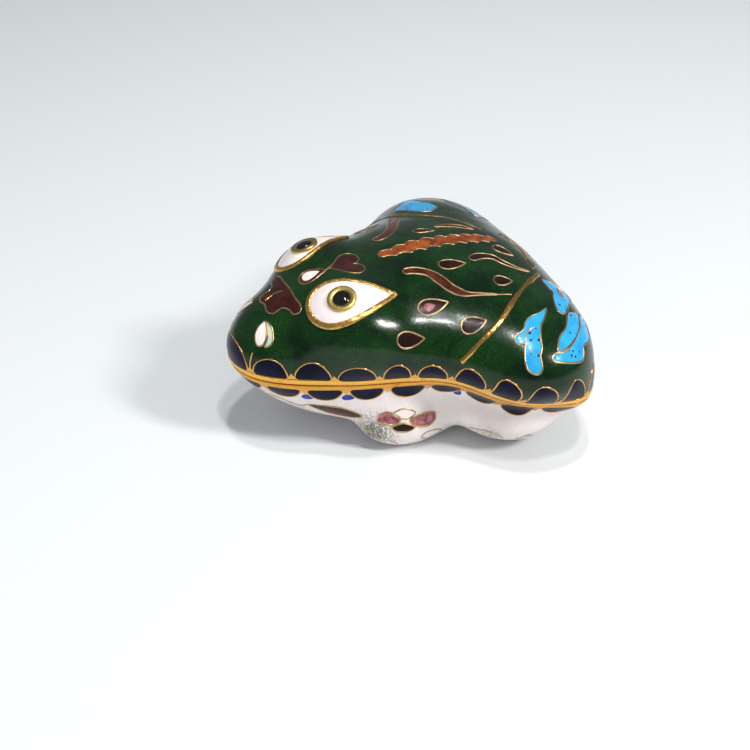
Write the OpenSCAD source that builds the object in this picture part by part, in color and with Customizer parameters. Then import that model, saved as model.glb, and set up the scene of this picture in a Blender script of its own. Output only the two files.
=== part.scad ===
// Cloisonne frog trinket box: a crouching frog in two enamelled copper halves, with a lift-off lid.
// The box stands on its four flat feet at z = 0. The frog faces -Y and its left side is +X.
// Millimetres throughout.

/* [Box] */
// Height of the joint between lid and base at the nose, above the feet
rim_height = 20; // [19:0.5:21]
// How far the joint dips over the haunches
rim_dip = 3.5; // [0:0.5:5]
// Thickness of the formed copper
copper = 0.8; // [0.6:0.1:1]
// Thickness of the enamel on the outside
enamel = 0.7; // [0.5:0.1:0.9]
// Thickness of the counter-enamel on the inside
lining = 0.4; // [0.3:0.1:0.6]

/* [Rim and collar] */
// Height of each gilt rim band
band_h = 1.7; // [1.2:0.1:1.8]
// How far the bands stand out past the enamel
band_proud = 0.3; // [0.1:0.1:0.5]
// Gap between the lid's band and the base's band
joint_gap = 0.1; // [0.05:0.05:0.2]
// Height of the locating collar above the joint
collar_up = 2.6; // [2:0.2:2.8]
// Depth of the collar's skirt below the joint
collar_down = 2.2; // [1.6:0.2:2.8]
// Thickness of the collar
collar_t = 0.6; // [0.5:0.1:0.8]
// Clearance between the collar and the lid's lining
collar_gap = 0.3; // [0.2:0.05:0.4]

/* [Enamel work] */
// Scallops along each side of a half
scallops_per_side = 14; // [12:1:16]
// Width of the nose scallop between its two upright wires
nose_scallop = 14.8; // [12:0.2:15]
// Width of the gilt fillet between neighbouring scallops
scallop_fillet = 1.2; // [0.8:0.1:1.6]
// Height of the lid's scallops above its band
lid_scallop_h = 4.8; // [3:0.2:5.4]
// Depth of the base's scallops below its band
base_scallop_h = 3.2; // [2.4:0.2:4]
// Width of a cloison wire
wire_w = 0.45; // [0.3:0.05:0.6]
// Width of the thick seam wire between back and haunch
seam_w = 1.1; // [0.6:0.1:1.2]
// Width of the spine stripe
stripe_w = 3.2; // [2.4:0.2:4]
// Waves along each edge of the spine stripe
stripe_waves = 7; // [5:1:9]

/* [Eyes] */
// Height of an eye across its length
eye_w = 12; // [10:0.5:13]
// Width of the gilt border round an eye
eye_border = 1.1; // [0.8:0.1:1.4]
// Radius of the brass iris cup
iris_r = 3.2; // [2.8:0.1:3.6]
// Radius of the black bead pupil
pupil_r = 1.9; // [1.5:0.1:2.2]

/* [Smoothness] */
// Facets round the frog
around = 44; // [36:2:60]
// Rows of facets from the rim to the crown or the belly
rows = 8; // [6:1:10]

/* [Hidden] */

GILT = "#d4a648";
COPPER = "#b87350";
GREEN = "#0f3a1c";
NAVY = "#10143a";
MAROON = "#4a1a1c";
RUST = "#a8461c";
TURQUOISE = "#2fa3d8";
WHITE = "#efe8e6";

// The frog's form is the smooth sum of rounded lumps: centre x, y, z, then half sizes x, y, z.
// A lump off the centre line is the left one of a pair.
LUMPS = [
    [0, 8.5, 26.5, 27, 27.5, 13.5],       // torso
    [0, -13, 23, 16, 26, 13.5],           // head
    [8.5, -14, 29.5, 11, 9.5, 9.5],       // brow
    [21, 20.5, 24, 19.5, 15, 11],         // haunch
    [15.5, -2.5, 5.6, 6, 10.5, 6],        // fore foot
    [18, 19.5, 8.5, 15, 13, 9],           // hind foot
    [0, 1.5, 12, 19.5, 28, 9.5],          // belly
    [0, 28.5, 16, 35, 9.5, 9.5],          // rump
];
// How tightly the lumps blend: higher is crisper
BLEND = 2.2;
// The point inside the box that every wall is measured from
CORE = [0, 1.5, rim_height - 2];
// How deep trim is set into the enamel below it, and how far wires and cells stand proud
BED = 0.2;
WIRE_UP = 0.2;
CELL_UP = 0.1;
// How far a wall can be from the core
NEAR = 4;
FAR = 60;
// The walls stay upright for this far above and below the joint, past the collar
UPRIGHT = 3;
// The enamel under the feet stays this far above the flats that the box stands on
FOOT_CLEAR = 0.15;

both = function (b) b[0] == 0 ? [b] : [b, [-b[0], b[1], b[2], b[3], b[4], b[5]]];
BODY = [for (b = LUMPS) each both(b)];
ONES = [for (b = BODY) 1];

function unit(v) = v / norm(v);
function flipped(p) = [-p.x, p.y, p.z];
function mirrored(list) = [for (p = list) flipped(p)];
function smooth(t) = let (c = min(1, max(0, t))) c * c * (3 - 2 * c);

// How strongly one lump fills the point p: 1 on its own surface
function lump(p, b) =
    let (d = [(p.x - b[0]) / b[3], (p.y - b[1]) / b[4], (p.z - b[2]) / b[5]])
    exp(BLEND * (1 - d * d));
function within(p) = [for (b = BODY) lump(p, b)] * ONES > 1;

// Distance from a point inside the form to its surface, along a direction
function reach(from, along, near = NEAR, far = FAR, steps = 13) =
    let (middle = (near + far) / 2)
    steps == 0 ? middle
    : within(from + middle * along) ? reach(from, along, middle, far, steps - 1)
    : reach(from, along, near, middle, steps - 1);

// The point of the form's surface on the line from the core through p
function on_skin(p) = let (along = unit(p - CORE)) CORE + reach(CORE, along) * along;
function skinned(list) = [for (p = list) on_skin(p)];

// Outward normal of the form at p
function normal(p) =
    let (pull = [for (b = BODY) lump(p, b) * [
        (p.x - b[0]) / pow(b[3], 2), (p.y - b[1]) / pow(b[4], 2), (p.z - b[2]) / pow(b[5], 2)
    ]])
    unit(ONES * pull);

// The joint's height at an angle round the box: level at the head, lower over the haunches
function joint_z(a) = rim_height - rim_dip * smooth((asin(sin(a)) - 2) / 27);

// How far to go along a direction for each millimetre of wall thickness at p, at most twice as far
function slant(p, along) = 1 / max(0.5, normal(p) * along);

// A point of the outer wall at an angle, a height above the joint and a distance outwards
function wall(a, dz, out = 0) =
    let (axis_point = [0, CORE.y, joint_z(a) + dz], along = [cos(a), sin(a), 0],
         p = axis_point + reach(axis_point, along) * along)
    out == 0 ? p : p + out * slant(p, along) * along;

// --- Walls of a half: rings of [point, step outwards for 1 mm], from the joint to the pole ---

// Share of the way from nose to rump, and the angle there: close together round nose and haunch
STATIONS = [[0, -90], [4 / 22, -60], [11 / 22, 5], [20 / 22, 68], [1, 90]];
function ring_angle(i) =
    let (t = 2 * i / around)
    t <= 1 ? lookup(t, STATIONS) : 180 - lookup(2 - t, STATIONS);

function spot(p, along) = [p, slant(p, along) * along];

function wall_ring(dz) = [
    for (i = [0:around - 1])
        let (a = ring_angle(i))
        spot(wall(a, dz), [cos(a), sin(a), 0])
];

// The surface point in a direction, cut off flat at the feet
function skin_or_floor(along) =
    let (r = reach(CORE, along), floor_r = along.z < 0 ? (FOOT_CLEAR - CORE.z) / along.z : FAR)
    spot(CORE + min(r, floor_r) * along, along);

function slope_ring(side, row) = [
    for (i = [0:around - 1])
        let (a = ring_angle(i),
             start = asin(unit(wall(a, side * UPRIGHT) - CORE).z),
             e = start + (90 * side - start) * pow(row / rows, 1.15))
        skin_or_floor([cos(a) * cos(e), sin(a) * cos(e), sin(e)])
];

function half_rings(side) = concat(
    [for (dz = [joint_gap / 2, band_h, UPRIGHT]) wall_ring(side * dz)],
    [for (row = [1:rows - 1]) slope_ring(side, row)]
);

function moved(s, out) = s[0] + out * s[1];

// A closed wall between two depths under a half's outer surface, from a first ring to the pole
module layer(side, outer, inner, first) {
    rings = half_rings(side);
    kept = [for (k = [first:len(rings) - 1]) rings[k]];
    pole = skin_or_floor([0, 0, side]);
    n = around;
    m = len(kept);
    inner_start = m * n + 1;
    points = concat(
        [for (ring = kept) for (s = ring) moved(s, -outer)], [moved(pole, -outer)],
        [for (ring = kept) for (s = ring) moved(s, -inner)], [moved(pole, -inner)]
    );
    skin = [
        for (k = [0:m - 2]) for (i = [0:n - 1])
            let (a = k * n + i, b = k * n + (i + 1) % n)
            each [[a, a + n, b + n], [a, b + n, b]]
    ];
    cap = [for (i = [0:n - 1]) [(m - 1) * n + i, m * n, (m - 1) * n + (i + 1) % n]];
    sheet = concat(skin, cap);
    inside = [for (f = sheet) [f[2] + inner_start, f[1] + inner_start, f[0] + inner_start]];
    mouth = [
        for (i = [0:n - 1])
            let (b = (i + 1) % n)
            each [[i, b, b + inner_start], [i, b + inner_start, i + inner_start]]
    ];
    faces = concat(sheet, inside, mouth);
    polyhedron(points, side > 0 ? faces : [for (f = faces) [f[2], f[1], f[0]]]);
}

// A band round the mouth, from a section of [outwards, up] corners taken anticlockwise
module band(section) {
    n = len(section);
    points = [for (i = [0:around - 1]) for (s = section) wall(ring_angle(i), s[1], s[0])];
    faces = [
        for (i = [0:around - 1]) for (j = [0:n - 1])
            let (p = i * n + j, q = i * n + (j + 1) % n,
                 t = ((i + 1) % around) * n + j, r = ((i + 1) % around) * n + (j + 1) % n)
            each [[p, q, r], [p, r, t]]
    ];
    polyhedron(points, faces);
}

// --- Trim laid on the surface: each piece is [points, faces] ---

function lifted(p, h) = p + h * normal(p);

// Anticlockwise, as seen from outside, whichever way the ring was drawn
function ordered(ring, middle) =
    let (n = len(ring),
         turn = [for (i = [0:n - 1]) cross(ring[i] - middle, ring[(i + 1) % n] - middle)],
         total = [for (t = turn) 1] * turn)
    total * normal(middle) > 0 ? ring : [for (i = [n - 1:-1:0]) ring[i]];

// A thin plate inside a closed ring of surface points, crowned at its middle and hollow beneath
function plate(outline, centre, up = CELL_UP, crown = CELL_UP, hollow = -0.1) =
    let (middle = on_skin(centre), ring = ordered(outline, middle), n = len(ring))
    [
        concat([for (p = ring) lifted(p, up)], [for (p = ring) lifted(p, -BED)],
               [lifted(middle, crown), lifted(middle, hollow)]),
        [for (i = [0:n - 1])
            let (j = (i + 1) % n)
            each [[j, i, 2 * n], [i, j, j + n], [i, j + n, i + n], [i + n, j + n, 2 * n + 1]]]
    ];

// A strip along surface points, of the given width at each point, keeled into the enamel
function strip(path, widths, up = WIRE_UP, closed = false) =
    let (n = len(path), last = closed ? n - 1 : n - 2)
    [
        [for (k = [0:n - 1])
            let (before = path[closed ? (k + n - 1) % n : max(0, k - 1)],
                 after = path[closed ? (k + 1) % n : min(n - 1, k + 1)],
                 up_way = normal(path[k]),
                 side = widths[k] / 2 * unit(cross(up_way, after - before)))
            each [path[k] + side + up * up_way, path[k] - side + up * up_way,
                  path[k] - BED * up_way]],
        concat(
            [for (k = [0:last]) for (j = [0:2])
                let (p = 3 * k + j, q = 3 * k + (j + 1) % 3,
                     s = 3 * ((k + 1) % n) + j, r = 3 * ((k + 1) % n) + (j + 1) % 3)
                each [[p, s, r], [p, r, q]]],
            closed ? [] : [[0, 1, 2], [3 * n - 1, 3 * n - 2, 3 * n - 3]]
        )
    ];

function even(width, path) = [for (p = path) width];
function wire(path, closed = false) = strip(path, even(wire_w, path), WIRE_UP, closed);

// Several pieces as one polyhedron
function total_before(pieces, k) = k == 0 ? 0 : total_before(pieces, k - 1) + len(pieces[k - 1][0]);
module together(pieces) {
    polyhedron(
        [for (piece = pieces) each piece[0]],
        [for (k = [0:len(pieces) - 1])
            let (start = total_before(pieces, k))
            for (f = pieces[k][1]) [for (v = f) v + start]]
    );
}

// --- Outlines ---

function between(a, b, t) = a + (b - a) * t;

// A sideways direction on the surface, square to the line from a to b
function across(a, b) = unit(cross(normal(on_skin((a + b) / 2)), b - a));

// A teardrop from its round end to its tip
DROP_PEAK = 0.77;
function drop(round_end, tip, width, n = 12) =
    let (side = across(round_end, tip))
    skinned([for (i = [0:n - 1])
        let (t = 360 * i / n)
        between(round_end, tip, (1 + cos(t)) / 2)
            + side * width / 2 * sin(t) * sin(t / 2) / DROP_PEAK]);

// A heart from its point to the top of its lobes
function heart(point, top, width, n = 16) =
    let (side = across(point, top))
    skinned([for (i = [0:n - 1])
        let (t = 360 * i / n,
             height = (17 + 13 * cos(t) - 5 * cos(2 * t) - 2 * cos(3 * t) - cos(4 * t)) / 29)
        between(point, top, height) + side * width / 2 * pow(sin(t), 3)]);

// Edges of a strip of varying width, as one closed outline
function edge(path, widths) =
    let (n = len(path),
         sides = [for (k = [0:n - 1])
             widths[k] / 2 * unit(cross(normal(path[k]),
                                        path[min(n - 1, k + 1)] - path[max(0, k - 1)]))])
    concat([for (k = [0:n - 1]) path[k] + sides[k]], [for (k = [n - 1:-1:0]) path[k] - sides[k]]);

// --- Scallops: places along the joint are arc lengths from the nose, negative on the right ---

ARC_STEP = 5;
ARC_POINTS = [for (a = [-90:ARC_STEP:90]) wall(a, 0)];
ARC_ANGLES = [for (a = [-90:ARC_STEP:90]) a];
function arc_length(k) = k == 0 ? 0 : arc_length(k - 1) + norm(ARC_POINTS[k] - ARC_POINTS[k - 1]);
ARC = [for (k = [0:len(ARC_POINTS) - 1]) [arc_length(k), ARC_ANGLES[k]]];
HALF_RIM = ARC[len(ARC) - 1][0];

function rim_angle(s) = s >= 0 ? lookup(s, ARC) : -180 - lookup(-s, ARC);
function rim_spot(s, dz) = wall(rim_angle(s), dz);

// The scallops by the cheeks are wider: share of the scallops passed, and share of the way there
LID_SPACING = [[0, 0], [0.214, 0.245], [0.5, 0.5], [1, 1]];
BASE_SPACING = [[0, 0], [0.5, 0.52], [1, 1]];
function joins(start, spacing) = [
    for (k = [0:scallops_per_side])
        start + (HALF_RIM - start) * lookup(k / scallops_per_side, spacing)
];
LID_JOINS = joins(nose_scallop / 2, LID_SPACING);
BASE_JOINS = joins(0, BASE_SPACING);

// Start and end of each scallop on both sides
function spans(at) = [
    for (k = [0:len(at) - 2]) each [[at[k], at[k + 1]], [-at[k], -at[k + 1]]]
];
LID_SPANS = concat([[-nose_scallop / 2, nose_scallop / 2]], spans(LID_JOINS));
BASE_SPANS = spans(BASE_JOINS);

ARCH_STEPS = 6;
function arch(span, side, h) =
    let (mid = (span[0] + span[1]) / 2,
         half = (abs(span[1] - span[0]) - scallop_fillet) / 2)
    [for (i = [0:ARCH_STEPS])
        let (t = 180 * i / ARCH_STEPS)
        rim_spot(mid + half * cos(t), side * (band_h + h * sin(t)))];

function scallop(span, side, h) =
    let (mid = (span[0] + span[1]) / 2)
    plate(concat(arch(span, side, h), [rim_spot(mid, side * band_h)]),
          rim_spot(mid, side * (band_h + h / 2)));

// The gilt fillet where two scallop wires meet the band
function fillet(s, side) =
    let (foot = side * band_h)
    plate([rim_spot(s - scallop_fillet, foot), rim_spot(s + scallop_fillet, foot),
           rim_spot(s, foot + side * scallop_fillet)],
          rim_spot(s, foot + side * scallop_fillet / 3), WIRE_UP, WIRE_UP);

function upright(s) = wire([for (h = [band_h:1.2:band_h + 4.8]) rim_spot(s, h)]);

// --- Places of the motifs ---

SPINE_FRONT = -3.5;
SPINE_REAR = 26.5;
SPINE_STEPS = 4 * stripe_waves;
function spine_y(t) = SPINE_FRONT + (SPINE_REAR - SPINE_FRONT) * t;
SPINE = skinned([for (k = [0:SPINE_STEPS]) [0, spine_y(k / SPINE_STEPS), 39]]);
SPINE_WIDTHS = [for (k = [0:SPINE_STEPS])
    let (t = k / SPINE_STEPS)
    stripe_w * (0.35 + 0.65 * min(1, 6 * min(t, 1 - t))) * (1 + 0.14 * sin(360 * stripe_waves * t))];

RIBBON_FRONT = [[7.5, -1, 39], [9, 2, 39], [12, 3.5, 38.5], [15, 6, 37.5], [17.5, 8.5, 37],
                [18.5, 11.5, 37], [19.5, 15.5, 37]];
RIBBON_FRONT_WIDTHS = [1.4, 2.4, 2.4, 2.2, 1.8, 1, 0.6];
RIBBON_REAR = [[8, 15, 39], [7, 18, 39], [7.5, 20.5, 38.5], [10.5, 22.5, 37.5], [12, 25, 36.5],
               [13, 27.5, 35.5]];
RIBBON_REAR_WIDTHS = [1.4, 2.4, 2, 1.4, 1, 0.6];
// The ribbon and the short leaf on the right
RIBBON_FAR = [[-7.4, -1.6, 39], [-8, 1, 39], [-10, 3.6, 38.8], [-12.8, 5.4, 38.3], [-16, 7, 37.4],
              [-19, 8.8, 36.5]];
RIBBON_FAR_WIDTHS = [1.4, 2.4, 2.3, 2.5, 2.5, 1.6];
LEAF = [[-7.5, 13.5, 39], [-7.5, 16.5, 39], [-6.5, 19.5, 38.5], [-5, 22, 38]];
LEAF_WIDTHS = [0.7, 1.7, 1.7, 0.6];
RIBBONS = [
    [skinned(RIBBON_FRONT), RIBBON_FRONT_WIDTHS], [skinned(RIBBON_REAR), RIBBON_REAR_WIDTHS],
    [skinned(RIBBON_FAR), RIBBON_FAR_WIDTHS], [skinned(LEAF), LEAF_WIDTHS]
];

// Teardrops: round end, tip, width
PAIRED_DROPS = [
    [[8.5, 7.5, 39.5], [9.5, 13, 39], 3.2],
    [[18, -2, 35.5], [18.5, 4.5, 36], 3.6],
    [[21.5, -8, 31], [23, -3, 31.5], 3.6]
];
LONE_DROPS = [
    [[16.5, 16.5, 37.5], [17, 20.5, 37], 3.2],
    [[24.5, 5, 33], [25.5, 10, 34.5], 3.6],
    [[4.5, 23, 38], [6, 27, 36.5], 3],
    [[8, 30, 35], [11.5, 30.5, 34.5], 2.4]
];
DROPS = concat(
    PAIRED_DROPS, LONE_DROPS, [for (d = PAIRED_DROPS) [flipped(d[0]), flipped(d[1]), d[2]]]
);
DROP_RINGS = [for (d = DROPS) drop(d[0], d[1], d[2])];

CROWN_POINT = [0.5, -15.5, 39.5];
CROWN_TOP = [0.5, -9, 39.5];
CROWN_HEART = heart(CROWN_POINT, CROWN_TOP, 8.5);
CROWN_DROP_ENDS = [[0, -22.3, 37], [0.5, -16.5, 39]];
CROWN_DROP = drop(CROWN_DROP_ENDS[0], CROWN_DROP_ENDS[1], 4.2);

// Left half of the dark patch across the muzzle, from its rear edge to its front point
MUZZLE_HALF = [[0, -24.7, 35.5], [4, -24.8, 35.5], [6.8, -25, 35], [7.2, -26, 34.5],
               [6, -27, 34.5], [4, -27.6, 34], [2.2, -28.8, 34], [0, -30.5, 33.5]];
MUZZLE = skinned(concat(MUZZLE_HALF, [for (k = [6:-1:1]) flipped(MUZZLE_HALF[k])]));
MUZZLE_BAR = skinned([[0, -30.5, 33.5], [0, -28.6, 34.5], [0, -26.8, 35]]);

NOSTRIL_ENDS = [[6.7, -33.7, 28.2], [4.6, -31.7, 32]];
NOSTRILS = [drop(NOSTRIL_ENDS[0], NOSTRIL_ENDS[1], 3),
            drop(flipped(NOSTRIL_ENDS[0]), flipped(NOSTRIL_ENDS[1]), 3)];

RUMP_LEAF = skinned([[-5, 30.5, 35.5], [-2, 31.5, 35], [1.5, 31.8, 34.7], [5, 31.5, 34.5]]);
RUMP_LEAF_WIDTHS = [0.8, 2.4, 2.4, 0.8];

// Turquoise patches: centre lines and widths. The first two are on the left haunch only, with one
// broad patch in their place on the right, and the others are on both.
LEFT_PATCHES = [
    [[[27, 24, 34.5], [29.5, 20, 34.5], [32.5, 17.5, 33], [35, 16, 31], [37, 15.7, 29],
      [38, 15.7, 27.5]], [0.8, 2.2, 3, 3, 2.8, 1.4]],
    [[[31.5, 16.8, 33.2], [31.6, 15.2, 33], [32, 13.6, 32.5]], [2, 2, 1]]
];
RIGHT_PATCHES = [
    [[[-28.5, 13.5, 33.8], [-26, 16, 35], [-23, 17.5, 36], [-19.5, 16.5, 36.9]], [2, 4.5, 5, 2]]
];
PAIRED_PATCHES = [
    [[[26.5, 31.5, 31.5], [30.5, 28, 32.2], [34.5, 24, 31.7], [37.5, 20.5, 30.3]],
     [0.8, 2.6, 2.6, 0.7]],
    [[[26.5, 33.2, 30], [31.5, 30.8, 29.6], [35.6, 27, 29], [38, 23, 29], [38, 20, 29.3]],
     [1, 3.4, 3.8, 2.8, 0.8]],
    [[[17, 30, 34], [21, 29, 34.2], [24.5, 28.5, 34], [28, 27.3, 33.4]], [1, 2.2, 2.6, 0.8]]
];
function patches(side) = concat(
    [for (p = side > 0 ? LEFT_PATCHES : RIGHT_PATCHES) [skinned(p[0]), p[1]]],
    [for (p = PAIRED_PATCHES) [skinned(side > 0 ? p[0] : mirrored(p[0])), p[1]]]
);

SEAM_LEFT = [[28, 3.5, 27.5], [28, 6, 30.5], [27.3, 9, 32.5], [25.6, 13.5, 34.8], [23.5, 18, 36],
             [19.5, 24, 36], [14.5, 29, 35]];
SEAM_RIGHT = [[-27.5, 3.5, 28], [-26, 7, 32.5], [-21.5, 10.5, 36], [-17, 14.5, 37.5], [-13, 19, 37.8],
              [-9, 22, 37.8], [-5, 24.5, 37.5]];

// An eye's round front and rear tip on the left side, and the middles of both pupils
EYE_ENDS = [[9.4, -24.6, 35.7], [13.8, -4.4, 37.5]];
PUPIL_LEFT = [12.4, -17.1, 38.4];
PUPIL_RIGHT = [-10.8, -16.8, 38.9];
function pupil_at(side) = side > 0 ? PUPIL_LEFT : PUPIL_RIGHT;
EYE_POINTS = 18;
EYE_CROWN = 0.9;
EYE_EDGE = 0.5;
EYE_HOLLOW = 0.25;
BORDER_UP = 0.9;
// Heights out of the skin: the iris cup's lip, its floor, and the centre of the bead's curve
CUP_UP = 1.2;
CUP_FLOOR = 0.9;
BEAD_CENTRE = -0.7;

// Lower half: the flower's petals (start, end, width) and the ribbon under the chin
PETALS = [
    [[20.8, -7.5, 9.8], [19.8, -11.5, 10.2], 2.6], [[21.4, -5.5, 9.4], [21.6, 0, 9.2], 3],
    [[21, -6.6, 9], [21.2, -6.6, 6.6], 3.2]
];
WHITE_PETALS = [[[21, -6.5, 10], [21.3, -6, 12.4], 3.2], [[20.5, -2.5, 4.5], [22, 2, 4.4], 1.8]];
CHIN_RIBBON = [[9, -28, 13.2], [11.5, -25, 12.5], [14, -20.5, 11.3], [16.5, -16, 10]];
CHIN_WIDTHS = [0.7, 1.8, 2.4, 1];

// Middles of the flats under the feet
FOOT_PAIR = [[15, -2.5], [20, 20]];
FOOT_SPOTS = concat(FOOT_PAIR, [for (p = FOOT_PAIR) [-p.x, p.y]]);
FLAT_R = 2.5;
FLAT_H = 0.8;

function both_sides(list) = concat(
    list, [for (p = list) [flipped(p[0]), flipped(p[1]), p[2]]]
);

// --- Lid ---

module lid_shell() color(COPPER) layer(1, enamel, enamel + copper, 0);

module lid_lining() color(TURQUOISE) layer(1, enamel + copper, enamel + copper + lining, 0);

module lid_enamel() color(GREEN) layer(1, 0, enamel, 1);

module lid_rim() color(GILT) band([
    [-enamel, joint_gap / 2], [band_proud, joint_gap / 2], [band_proud, band_h], [-enamel, band_h]
]);

module lid_scallop_enamel() color(NAVY)
    together([for (span = LID_SPANS) scallop(span, 1, lid_scallop_h)]);

module lid_scallop_wires() color(GILT)
    together(concat(
        [for (span = LID_SPANS) wire(arch(span, 1, lid_scallop_h))],
        [for (s = LID_JOINS) fillet(s, 1)],
        [for (k = [1:len(LID_JOINS) - 2]) fillet(-LID_JOINS[k], 1)],
        [upright(nose_scallop / 2), upright(-nose_scallop / 2)]
    ));

module spine_enamel() color(RUST) together([strip(SPINE, SPINE_WIDTHS, CELL_UP)]);

module ribbon_enamel() color(MAROON)
    together([for (r = RIBBONS) strip(r[0], r[1], CELL_UP)]);

module drop_enamel() color(MAROON)
    together([for (k = [0:len(DROPS) - 1])
        plate(DROP_RINGS[k], between(DROPS[k][0], DROPS[k][1], 0.4))]);

module heart_enamel() color(MAROON)
    together([plate(CROWN_HEART, between(CROWN_POINT, CROWN_TOP, 0.6))]);

module muzzle_enamel() color(MAROON) together([plate(MUZZLE, [0, -26.5, 35])]);

module crown_drop_enamel() color(WHITE)
    together([plate(CROWN_DROP, between(CROWN_DROP_ENDS[0], CROWN_DROP_ENDS[1], 0.4))]);

module nostril_enamel() color(WHITE)
    let (middle = between(NOSTRIL_ENDS[0], NOSTRIL_ENDS[1], 0.4))
    together([plate(NOSTRILS[0], middle), plate(NOSTRILS[1], flipped(middle))]);

module haunch_enamel(side) color(TURQUOISE)
    together([for (p = patches(side)) strip(p[0], p[1], CELL_UP)]);

module rump_leaf_enamel() color(RUST) together([strip(RUMP_LEAF, RUMP_LEAF_WIDTHS, CELL_UP)]);

module motif_wires() color(GILT)
    together(concat(
        [wire(edge(SPINE, SPINE_WIDTHS), true), wire(edge(RUMP_LEAF, RUMP_LEAF_WIDTHS), true)],
        [for (r = RIBBONS) wire(edge(r[0], r[1]), true)],
        [for (ring = DROP_RINGS) wire(ring, true)],
        [for (ring = NOSTRILS) wire(ring, true)],
        [wire(CROWN_HEART, true), wire(CROWN_DROP, true), wire(MUZZLE, true), wire(MUZZLE_BAR)]
    ));

module haunch_wires(side) color(GILT)
    together([for (p = patches(side)) wire(edge(p[0], p[1]), true)]);

module seam_wire(path) color(GILT)
    let (line = skinned(path))
    together([strip(line, even(seam_w, line), 0.4)]);

function eye_ring(side, inset) =
    let (front = EYE_ENDS[0], tip = EYE_ENDS[1], along = unit(tip - front),
         a = front + inset * along, b = tip - 1.8 * inset * along)
    side > 0 ? drop(a, b, eye_w - 2 * inset, EYE_POINTS)
             : drop(flipped(a), flipped(b), eye_w - 2 * inset, EYE_POINTS);

module eye_white(side) color(WHITE)
    together([plate(eye_ring(side, eye_border), pupil_at(side),
                    EYE_EDGE, EYE_CROWN, EYE_HOLLOW)]);

module eye_border_wire(side) color(GILT)
    let (ring = eye_ring(side, eye_border / 2))
    together([strip(ring, even(eye_border, ring), BORDER_UP, true)]);

// Places its children on the pupil's middle, facing straight out of the eye
module at_pupil(side) {
    spot = on_skin(pupil_at(side));
    way = normal(spot);
    translate(spot) rotate([0, acos(way.z), atan2(way.y, way.x)]) children();
}

module iris_cup(side) color(GILT) at_pupil(side)
    rotate_extrude($fn = 64)
        polygon([[0, 0], [iris_r, 0], [iris_r, CUP_UP - 0.4], [iris_r - 0.4, CUP_UP],
                 [pupil_r + 0.5, CUP_UP - 0.1], [pupil_r + 0.1, CUP_FLOOR], [0, CUP_FLOOR]]);

module pupil(side) color("#0a0a0a") at_pupil(side)
    intersection() {
        translate([0, 0, CUP_FLOOR]) cylinder(r = pupil_r, h = pupil_r, $fn = 64);
        translate([0, 0, BEAD_CENTRE]) sphere(r = pupil_r + 0.5, $fn = 64);
    }

// --- Base ---

module base_shell() color(COPPER) layer(-1, enamel, enamel + copper, 0);

module base_lining() color(TURQUOISE) layer(-1, enamel + copper, enamel + copper + lining, 2);

module base_enamel() color(WHITE) layer(-1, 0, enamel, 1);

module base_rim() color(GILT) band([
    [-enamel, -band_h], [band_proud, -band_h], [band_proud, -joint_gap / 2],
    [-enamel, -joint_gap / 2]
]);

// The collar's skirt lines the copper below the joint, and its upper part stands inside the lid
module base_collar() color(GILT)
    let (skirt = -enamel - copper,
         lip = skirt - lining - collar_gap)
    band([
        [skirt - collar_t, -collar_down], [skirt, -collar_down], [skirt, -joint_gap / 2],
        [lip, joint_gap], [lip, collar_up], [lip - collar_t, collar_up],
        [lip - collar_t, joint_gap]
    ]);

module base_scallop_enamel() color(NAVY)
    together([for (span = BASE_SPANS) scallop(span, -1, base_scallop_h)]);

module base_scallop_wires() color(GILT)
    together(concat(
        [for (span = BASE_SPANS) wire(arch(span, -1, base_scallop_h))],
        [for (s = BASE_JOINS) fillet(s, -1)],
        [for (k = [1:len(BASE_JOINS) - 2]) fillet(-BASE_JOINS[k], -1)]
    ));

module petals(list) together([
    for (p = both_sides(list)) plate(drop(p[0], p[1], p[2], 10), between(p[0], p[1], 0.4))
]);

module flower_enamel() color(MAROON) petals(PETALS);

module flower_white_enamel() color(WHITE) petals(WHITE_PETALS);

module chin_ribbon_enamel() color(MAROON)
    together([strip(skinned(CHIN_RIBBON), CHIN_WIDTHS, CELL_UP),
              strip(skinned(mirrored(CHIN_RIBBON)), CHIN_WIDTHS, CELL_UP)]);

module base_motif_wires() color(GILT)
    together(concat(
        [for (p = both_sides(concat(PETALS, WHITE_PETALS))) wire(drop(p[0], p[1], p[2], 10), true)],
        [wire(edge(skinned(CHIN_RIBBON), CHIN_WIDTHS), true),
         wire(edge(skinned(mirrored(CHIN_RIBBON)), CHIN_WIDTHS), true)]
    ));

// The bare metal flats that the four feet stand on, ground level after the enamel was fired
module foot_flats() color(GILT)
    for (s = FOOT_SPOTS) translate([s.x, s.y, 0]) cylinder(r = FLAT_R, h = FLAT_H, $fn = 48);

lid_shell();
lid_lining();
lid_enamel();
lid_rim();
lid_scallop_enamel();
lid_scallop_wires();
spine_enamel();
ribbon_enamel();
drop_enamel();
heart_enamel();
muzzle_enamel();
crown_drop_enamel();
nostril_enamel();
haunch_enamel(1);  // haunch_enamel_left
haunch_enamel(-1);  // haunch_enamel_right
rump_leaf_enamel();
motif_wires();
haunch_wires(1);  // haunch_wires_left
haunch_wires(-1);  // haunch_wires_right
seam_wire(SEAM_LEFT);  // seam_wire_left
seam_wire(SEAM_RIGHT);  // seam_wire_right
eye_white(1);  // eye_white_left
eye_white(-1);  // eye_white_right
eye_border_wire(1);  // eye_border_left
eye_border_wire(-1);  // eye_border_right
iris_cup(1);  // iris_cup_left
iris_cup(-1);  // iris_cup_right
pupil(1);  // pupil_left
pupil(-1);  // pupil_right
base_shell();
base_lining();
base_enamel();
base_rim();
base_collar();
base_scallop_enamel();
base_scallop_wires();
flower_enamel();
flower_white_enamel();
chin_ribbon_enamel();
base_motif_wires();
foot_flats();
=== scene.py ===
import math

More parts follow.
